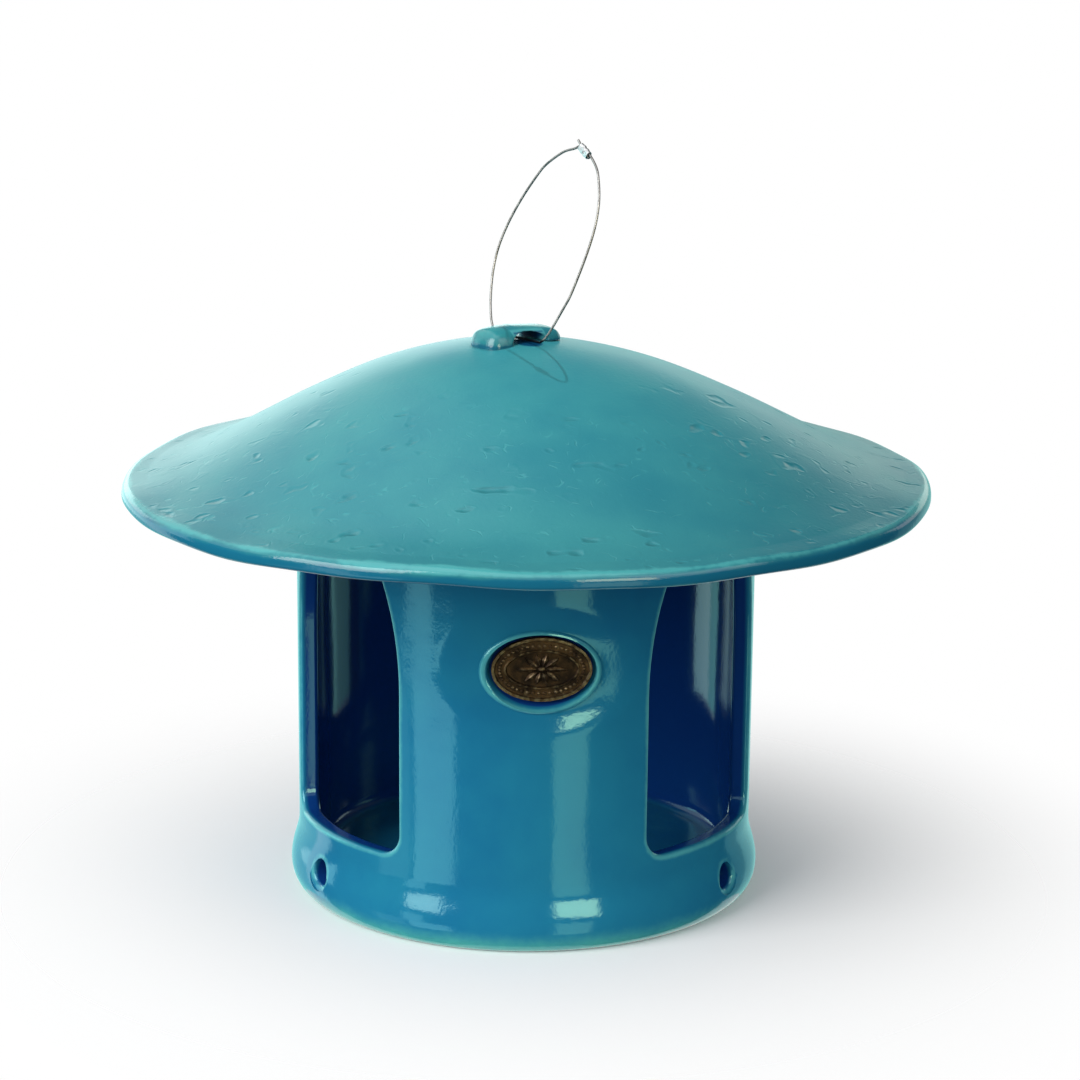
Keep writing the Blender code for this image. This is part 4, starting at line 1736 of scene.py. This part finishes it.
@dataclass
class Hanger:
    """Sprung wire loop through the lug, its ends held in a crimped sleeve."""

    lug: HangingLug
    diameter: float = 0.0008
    lean: float = 15.0
    gap: float = 0.0003
    sleeve_length: float = 0.0051
    sleeve_wall: float = 0.00035
    sleeve_play: float = 0.0001  # between the wire's two runs, and round them
    sleeve_place: Point = (0.01415, 0.06165)
    sleeve_fall: float = 29.0
    cut_end: float = 0.0008
    stub_tip: Point = (0.0100, 0.0648)
    left_side: tuple[Point, ...] = (
        (0.0092, 0.0620),
        (0.0040, 0.0603),
        (-0.0025, 0.0559),
        (-0.0061, 0.0517),
        (-0.0114, 0.0433),
        (-0.0153, 0.0350),
        (-0.0176, 0.0268),
        (-0.0178, 0.0189),
        (-0.0164, 0.0112),
        (-0.0148, 0.0062),
        (-0.0126, 0.0021),
        (-0.0092, 0.0002),
    )
    right_side: tuple[Point, ...] = (
        (0.0095, -0.0002),
        (0.0126, 0.0002),
        (0.0150, 0.0026),
        (0.0170, 0.0063),
        (0.0199, 0.0122),
        (0.0217, 0.0162),
        (0.0239, 0.0242),
        (0.0256, 0.0321),
        (0.0264, 0.0398),
        (0.0256, 0.0474),
        (0.0230, 0.0543),
        (0.0208, 0.0575),
    )
    crimp: float = 0.13  # how much the crimps flatten the sleeve
    # the steel is painted dark up to the tunnel's top, as shade inside the lug
    steel: DrawnMetal = DrawnMetal(
        "dull_steel_look", (0.34, 0.33, 0.32), (0.16, 0.155, 0.15), 0.38, stain_top=0.1822
    )
    aluminium: DrawnMetal = DrawnMetal(
        "aluminium_look", (0.72, 0.73, 0.74), (0.50, 0.51, 0.52), 0.36
    )

    def matrix(self) -> Matrix:
        """Gives the wire's frame: x along the hinge axis, z up the wire's plane.

        Returns:
            The matrix from that frame to the world.
        """
        lift = self.gap + self.diameter / 2
        lean = Matrix.Rotation(radians(-self.lean), 4, "X")
        return self.lug.matrix() @ Matrix.Translation((0, 0, lift)) @ lean

    def lanes(self) -> list[list[Vector]]:
        """Gives the wire's two runs in the sleeve, each from left to right, the lower one first.

        Returns:
            The two runs.
        """
        fall = radians(self.sleeve_fall)
        along = Vector((cos(fall), -sin(fall)))
        side = Vector((sin(fall), cos(fall))) * (self.diameter + self.sleeve_play) / 2
        half = self.sleeve_length / 2
        spots = (-half - self.cut_end, -half, 0, half, half + self.cut_end)
        middle = Vector(self.sleeve_place)
        return [[middle + offset + along * spot for spot in spots] for offset in (-side, side)]

    def wire(self) -> Piece:
        """Bends the wire: from its stub through the sleeve, round the loop and back.

        Returns:
            The wire, in its own frame.
        """
        lower, upper = self.lanes()
        loop = [*reversed(self.right_side), *reversed(self.left_side)]
        knots = [self.stub_tip, *upper, *loop, *lower]
        route = smooth_curve(knots, 5)
        curve = bpy.data.curves.new("wire_loop", "CURVE")
        curve.dimensions = "3D"
        curve.bevel_depth = self.diameter / 2
        curve.bevel_resolution = 4
        curve.use_fill_caps = True
        spline = curve.splines.new("POLY")
        spline.points.add(len(route) - 1)
        for spot, point in zip(spline.points, route):
            spot.co = (point.x, 0, point.y, 1)
        wire = bpy.data.objects.new("wire_loop", curve)
        bpy.context.scene.collection.objects.link(wire)
        focus(wire)
        bpy.ops.object.convert(target="MESH")
        return bpy.context.object

    def sleeve(self) -> Piece:
        """Presses the sleeve: a flat-sided oval tube with hollow ends and two crimp marks.

        Returns:
            The sleeve, in place.
        """
        thick = self.diameter + 2 * (self.sleeve_play + self.sleeve_wall)
        wide = thick + self.diameter + self.sleeve_play
        size = {"radius": thick / 2, "depth": self.sleeve_length}
        sleeve = start("cylinder", "crimp_ferrule", vertices=40, **size)
        half = self.sleeve_length / 2
        with editing(sleeve) as bm:
            for vert in bm.verts:
                vert.co.x += (wide - thick) / 2 * (1 if vert.co.x > 0 else -1)
            bpy.ops.mesh.select_all(action="DESELECT")
            for face in bm.faces:
                face.select = abs(face.normal.z) > 0.9
            bpy.ops.mesh.inset(thickness=0.0003)
            bpy.ops.mesh.inset(thickness=0.00005, depth=-0.0005)
            for level in (-0.7, -0.42, -0.28, -0.14, 0, 0.14, 0.28, 0.42, 0.7):
                bpy.ops.mesh.select_all(action="SELECT")
                plane = (0, 0, level * half)
                bpy.ops.mesh.bisect(plane_co=plane, plane_no=(0, 0, 1), use_fill=False)
            bm = bmesh.from_edit_mesh(sleeve.data)
            for vert in bm.verts:
                level = abs(vert.co.z / half)
                pinch = 1 - self.crimp * fade(level, 0.10, 0.30) * (1 - fade(level, 0.42, 0.62))
                vert.co.y *= pinch
                vert.co.x *= 2 - pinch if level < 0.65 else 1
            bpy.ops.mesh.select_all(action="DESELECT")
            for edge in bm.edges:
                flat = abs(abs(edge.verts[0].co.z) - half) + abs(abs(edge.verts[1].co.z) - half)
                outer = len(edge.link_faces) == 2 and edge.calc_face_angle() > 1
                edge.select = flat < 0.00001 and outer
            bpy.ops.mesh.bevel(offset=0.00009, segments=2, affect="EDGES")
        lie = Matrix.Rotation(radians(self.sleeve_fall) + pi / 2, 4, "Y")
        spot = Matrix.Translation((self.sleeve_place[0], 0, self.sleeve_place[1]))
        place(sleeve, self.matrix() @ spot @ lie)
        return sleeve

    def build(self) -> list[Piece]:
        """Bends the wire, presses the sleeve and dresses both.

        Returns:
            The wire and its sleeve.
        """
        wire, sleeve = self.wire(), self.sleeve()
        place(wire, self.matrix())
        smooth(wire, 50)
        smooth(sleeve, 35)
        return [
            hand_in(wire, Body.HANGER, ["hanger_wire"], self.steel.material()),
            hand_in(sleeve, Body.HANGER, ["crimp_sleeve"], self.aluminium.material()),
        ]


OUTER_RING, INNER_RING = 2.3, 1.6  # how far the reflector cards stand off


@dataclass(frozen=True)
class Card:
    """A curved reflector or dark flag that only glossy surfaces see."""

    name: str
    azimuths: Point  # from one side to the other
    elevations: Point  # from its lower to its upper edge
    level: float
    tint: Colour = (1.0, 1.0, 1.0)
    reach: float = OUTER_RING


@dataclass(frozen=True)
class Lamp:
    """A square soft lamp, or a narrow spot, that looks at the feeder's axis."""

    name: str
    azimuth: float
    elevation: float
    reach: float
    power: float  # in watts
    side: float = 1.2
    cone: float | None = None  # width of a spot's cone in degrees
    height: float = 0.11  # where it looks


@dataclass
class Studio:
    """White floor and surround, soft lamps, reflector cards and the camera."""

    target: tuple[float, float, float] = (0.0045, 0.0, 0.1137)
    distance: float = 1.0
    elevation: float = 14.03
    roll: float = 0.5
    lens: float = 102.5
    floor_tone: Colour = (0.93, 0.93, 0.93)
    floor_fade: Point = (0.04, 0.24)  # from solid to clear
    card_height: float = 0.11
    cards: tuple[Card, ...] = (
        Card("front_flag", (-102, 122), (-75, 24), 0.012),
        Card("foot_flag", (-114, -102), (-75, -8), 0.012),
        Card("rim_card", (-118, -102), (-8, 24), 1.9, (0.60, 1.0, 1.0)),
        Card("roof_flag", (75, 196), (20, 88), 0.10, reach=2.2),
        Card("right_back_card", (122, 136), (-30, 4), 0.38, (0.45, 1.0, 0.95)),
        Card("right_low_card", (136, 180), (-30, 4), 0.80, (0.45, 1.0, 0.95)),
        Card("right_edge_card", (138, 182), (4, 20), 1.6, (0.85, 1.0, 0.92)),
        Card("left_low_card", (-180, -128), (-30, -12), 1.0, (0.40, 1.0, 0.97)),
        Card("left_foot_card", (-180, -128), (-12, 0), 2.0, (0.60, 1.0, 0.97)),
        Card("window_card", (-128, -114), (-30, 0), 1.6, (0.70, 1.0, 1.0)),
        Card("left_edge_card", (-182, -127), (0, 18), 2.6, (0.82, 1.0, 0.97)),
        Card("left_back_card", (-182, -120), (18, 50), 0.90, (1.0, 1.0, 0.93)),
        Card("left_glow", (-74, -58), (-28, -16), 0.6, (0.7, 1.0, 1.0), INNER_RING),
        Card("left_strip_top", (-58.5, -45.5), (-16.0, -4.5), 1.7, (0.7, 1.0, 1.0), INNER_RING),
        Card("left_strip", (-55, -34.5), (-28, -16.0), 2.0, (0.7, 1.0, 1.0), INNER_RING),
        Card("right_strip", (14, 31), (-28, -4.5), 1.7, (0.75, 1.0, 0.67), INNER_RING),
        Card("left_high_card", (-57, -38), (0.7, 21), 6.0, (1.0, 0.90, 0.85), INNER_RING),
        Card("right_high_card", (14, 35), (1.8, 21), 8.5, (1.0, 0.95, 0.62), INNER_RING),
    )
    lamps: tuple[Lamp, ...] = (
        Lamp("key", -52, 27, 1.7, 31),
        Lamp("fill", 50, 30, 1.9, 6),
        Lamp("top", -20, 78, 1.6, 4, side=1.3),
        Lamp("back", 156, 64, 1.6, 60, cone=9, height=0.17),  # casts the wire's shadow
    )

    def camera(self) -> None:
        """Sets up the camera at the photograph's angle."""
        tilt, roll = radians(self.elevation), radians(self.roll)
        forward = Vector((0, cos(tilt), -sin(tilt)))
        level, upright = Vector((1, 0, 0)), Vector((0, sin(tilt), cos(tilt)))
        right = level * cos(roll) + upright * sin(roll)
        up = upright * cos(roll) - level * sin(roll)
        data = bpy.data.cameras.new("view")
        data.lens, data.sensor_width = self.lens, 36
        data.clip_start, data.clip_end = 0.05, 50
        camera = bpy.data.objects.new("view", data)
        bpy.context.scene.collection.objects.link(camera)
        turned = Matrix((right, up, -forward)).transposed().to_4x4()
        spot = Vector(self.target) - forward * self.distance
        camera.matrix_world = Matrix.Translation(spot) @ turned
        bpy.context.scene.camera = camera

    def hang(self, lamp: Lamp) -> None:
        """Hangs a lamp and aims it.

        Args:
            lamp: What it is and where it goes.
        """
        data = bpy.data.lights.new(lamp.name, "SPOT" if lamp.cone else "AREA")
        data.energy = lamp.power
        if lamp.cone:
            data.spot_size, data.spot_blend = radians(lamp.cone), 1.0
            data.shadow_soft_size = 0.008
        else:
            data.shape, data.size = "SQUARE", lamp.side
        hung = bpy.data.objects.new(lamp.name, data)
        bpy.context.scene.collection.objects.link(hung)
        away = sight(lamp.azimuth, lamp.elevation)
        hung.location = Vector((0, 0, lamp.height)) + away * lamp.reach
        hung.rotation_mode = "QUATERNION"
        hung.rotation_quaternion = away.to_track_quat("Z", "Y")
        hung.visible_glossy = not lamp.cone

    def floor(self) -> None:
        """Lays the pale floor, which fades into the surround."""
        floor = start("circle", "floor", vertices=96, radius=1.3, fill_type="NGON")
        with editing(floor):
            bpy.ops.mesh.select_all(action="SELECT")
            bpy.ops.mesh.inset(thickness=0.7)
        material, bench, shader = new_material("floor_look")
        looks = {"Base Color": self.floor_tone, "Roughness": 0.9, "Specular IOR Level": 0.0}
        bench.fill(shader, looks)
        share = bench.ease(bench.length(bench.position()), *self.floor_fade)
        clear = bench.add("BsdfTransparent", {}).outputs[0]
        mixed = bench.add("MixShader", {0: share, 1: shader.outputs[0], 2: clear})
        bench.feed(material.node_tree.nodes["Material Output"].inputs[0], mixed.outputs[0])
        floor.data.materials.append(material)
        floor.visible_glossy = False

    def stand(self, card: Card) -> None:
        """Stands a bent card on an arc round the feeder, seen in reflections alone.

        Args:
            card: Its place, level and tint.
        """
        mesh_card = start("plane", card.name, size=1.0)
        with editing(mesh_card) as bm:
            bpy.ops.mesh.subdivide(number_cuts=15)
            for vert in bm.verts:
                azimuth, elevation = [
                    low + (high - low) * (share + 0.5)
                    for share, (low, high) in zip(vert.co, (card.azimuths, card.elevations))
                ]
                vert.co = Vector((0, 0, self.card_height)) + sight(azimuth, elevation) * card.reach
        material, bench, shader = new_material(f"{card.name}_look")
        glow = bench.add("Emission", {"Color": card.tint, "Strength": card.level})
        bench.feed(material.node_tree.nodes["Material Output"].inputs[0], glow.outputs[0])
        material.node_tree.nodes.remove(shader)
        material.cycles.emission_sampling = "NONE"
        mesh_card.data.materials.append(material)
        mesh_card.visible_camera = mesh_card.visible_diffuse = False
        mesh_card.visible_shadow = mesh_card.visible_transmission = False

    def surround(self) -> None:
        """Fills the world: white to the eye and in reflections, softer as light."""
        world = bpy.data.worlds.new("surround")
        world.use_nodes = True
        bench = Bench(world.node_tree)
        path = bench.add("LightPath", {}).outputs
        seen = bench.math("MAXIMUM", path["Is Camera Ray"], path["Is Glossy Ray"])
        seen = bench.math("MAXIMUM", seen, path["Is Transmission Ray"])
        soft = bench.add("Background", {"Color": (0.96, 0.98, 1.0), "Strength": 0.36})
        white = bench.add("Background", {"Color": (1.0, 1.0, 1.0), "Strength": 1.0})
        mixed = bench.add("MixShader", {0: seen, 1: soft.outputs[0], 2: white.outputs[0]})
        bench.feed(world.node_tree.nodes["World Output"].inputs[0], mixed.outputs[0])
        bpy.context.scene.world = world

    def build(self) -> None:
        """Sets up the whole studio."""
        bpy.context.scene.view_settings.view_transform = "Standard"
        self.camera()
        self.floor()
        self.surround()
        for card in self.cards:
            self.stand(card)
        for lamp in self.lamps:
            self.hang(lamp)


def main() -> None:
    """Builds the studio and the feeder piece by piece, and reports each piece."""
    logging.basicConfig(level=logging.INFO, format="%(name)s: %(message)s")
    Studio().build()
    roof = Roof()
    drum, lug = Drum(roof), HangingLug(roof)
    for maker in (roof, drum, lug, Badge(drum), Hanger(lug)):
        for piece in maker.build():
            LOG.info("%s: %d faces", piece.name, len(piece.data.polygons))


if __name__ == "__main__":
    main()
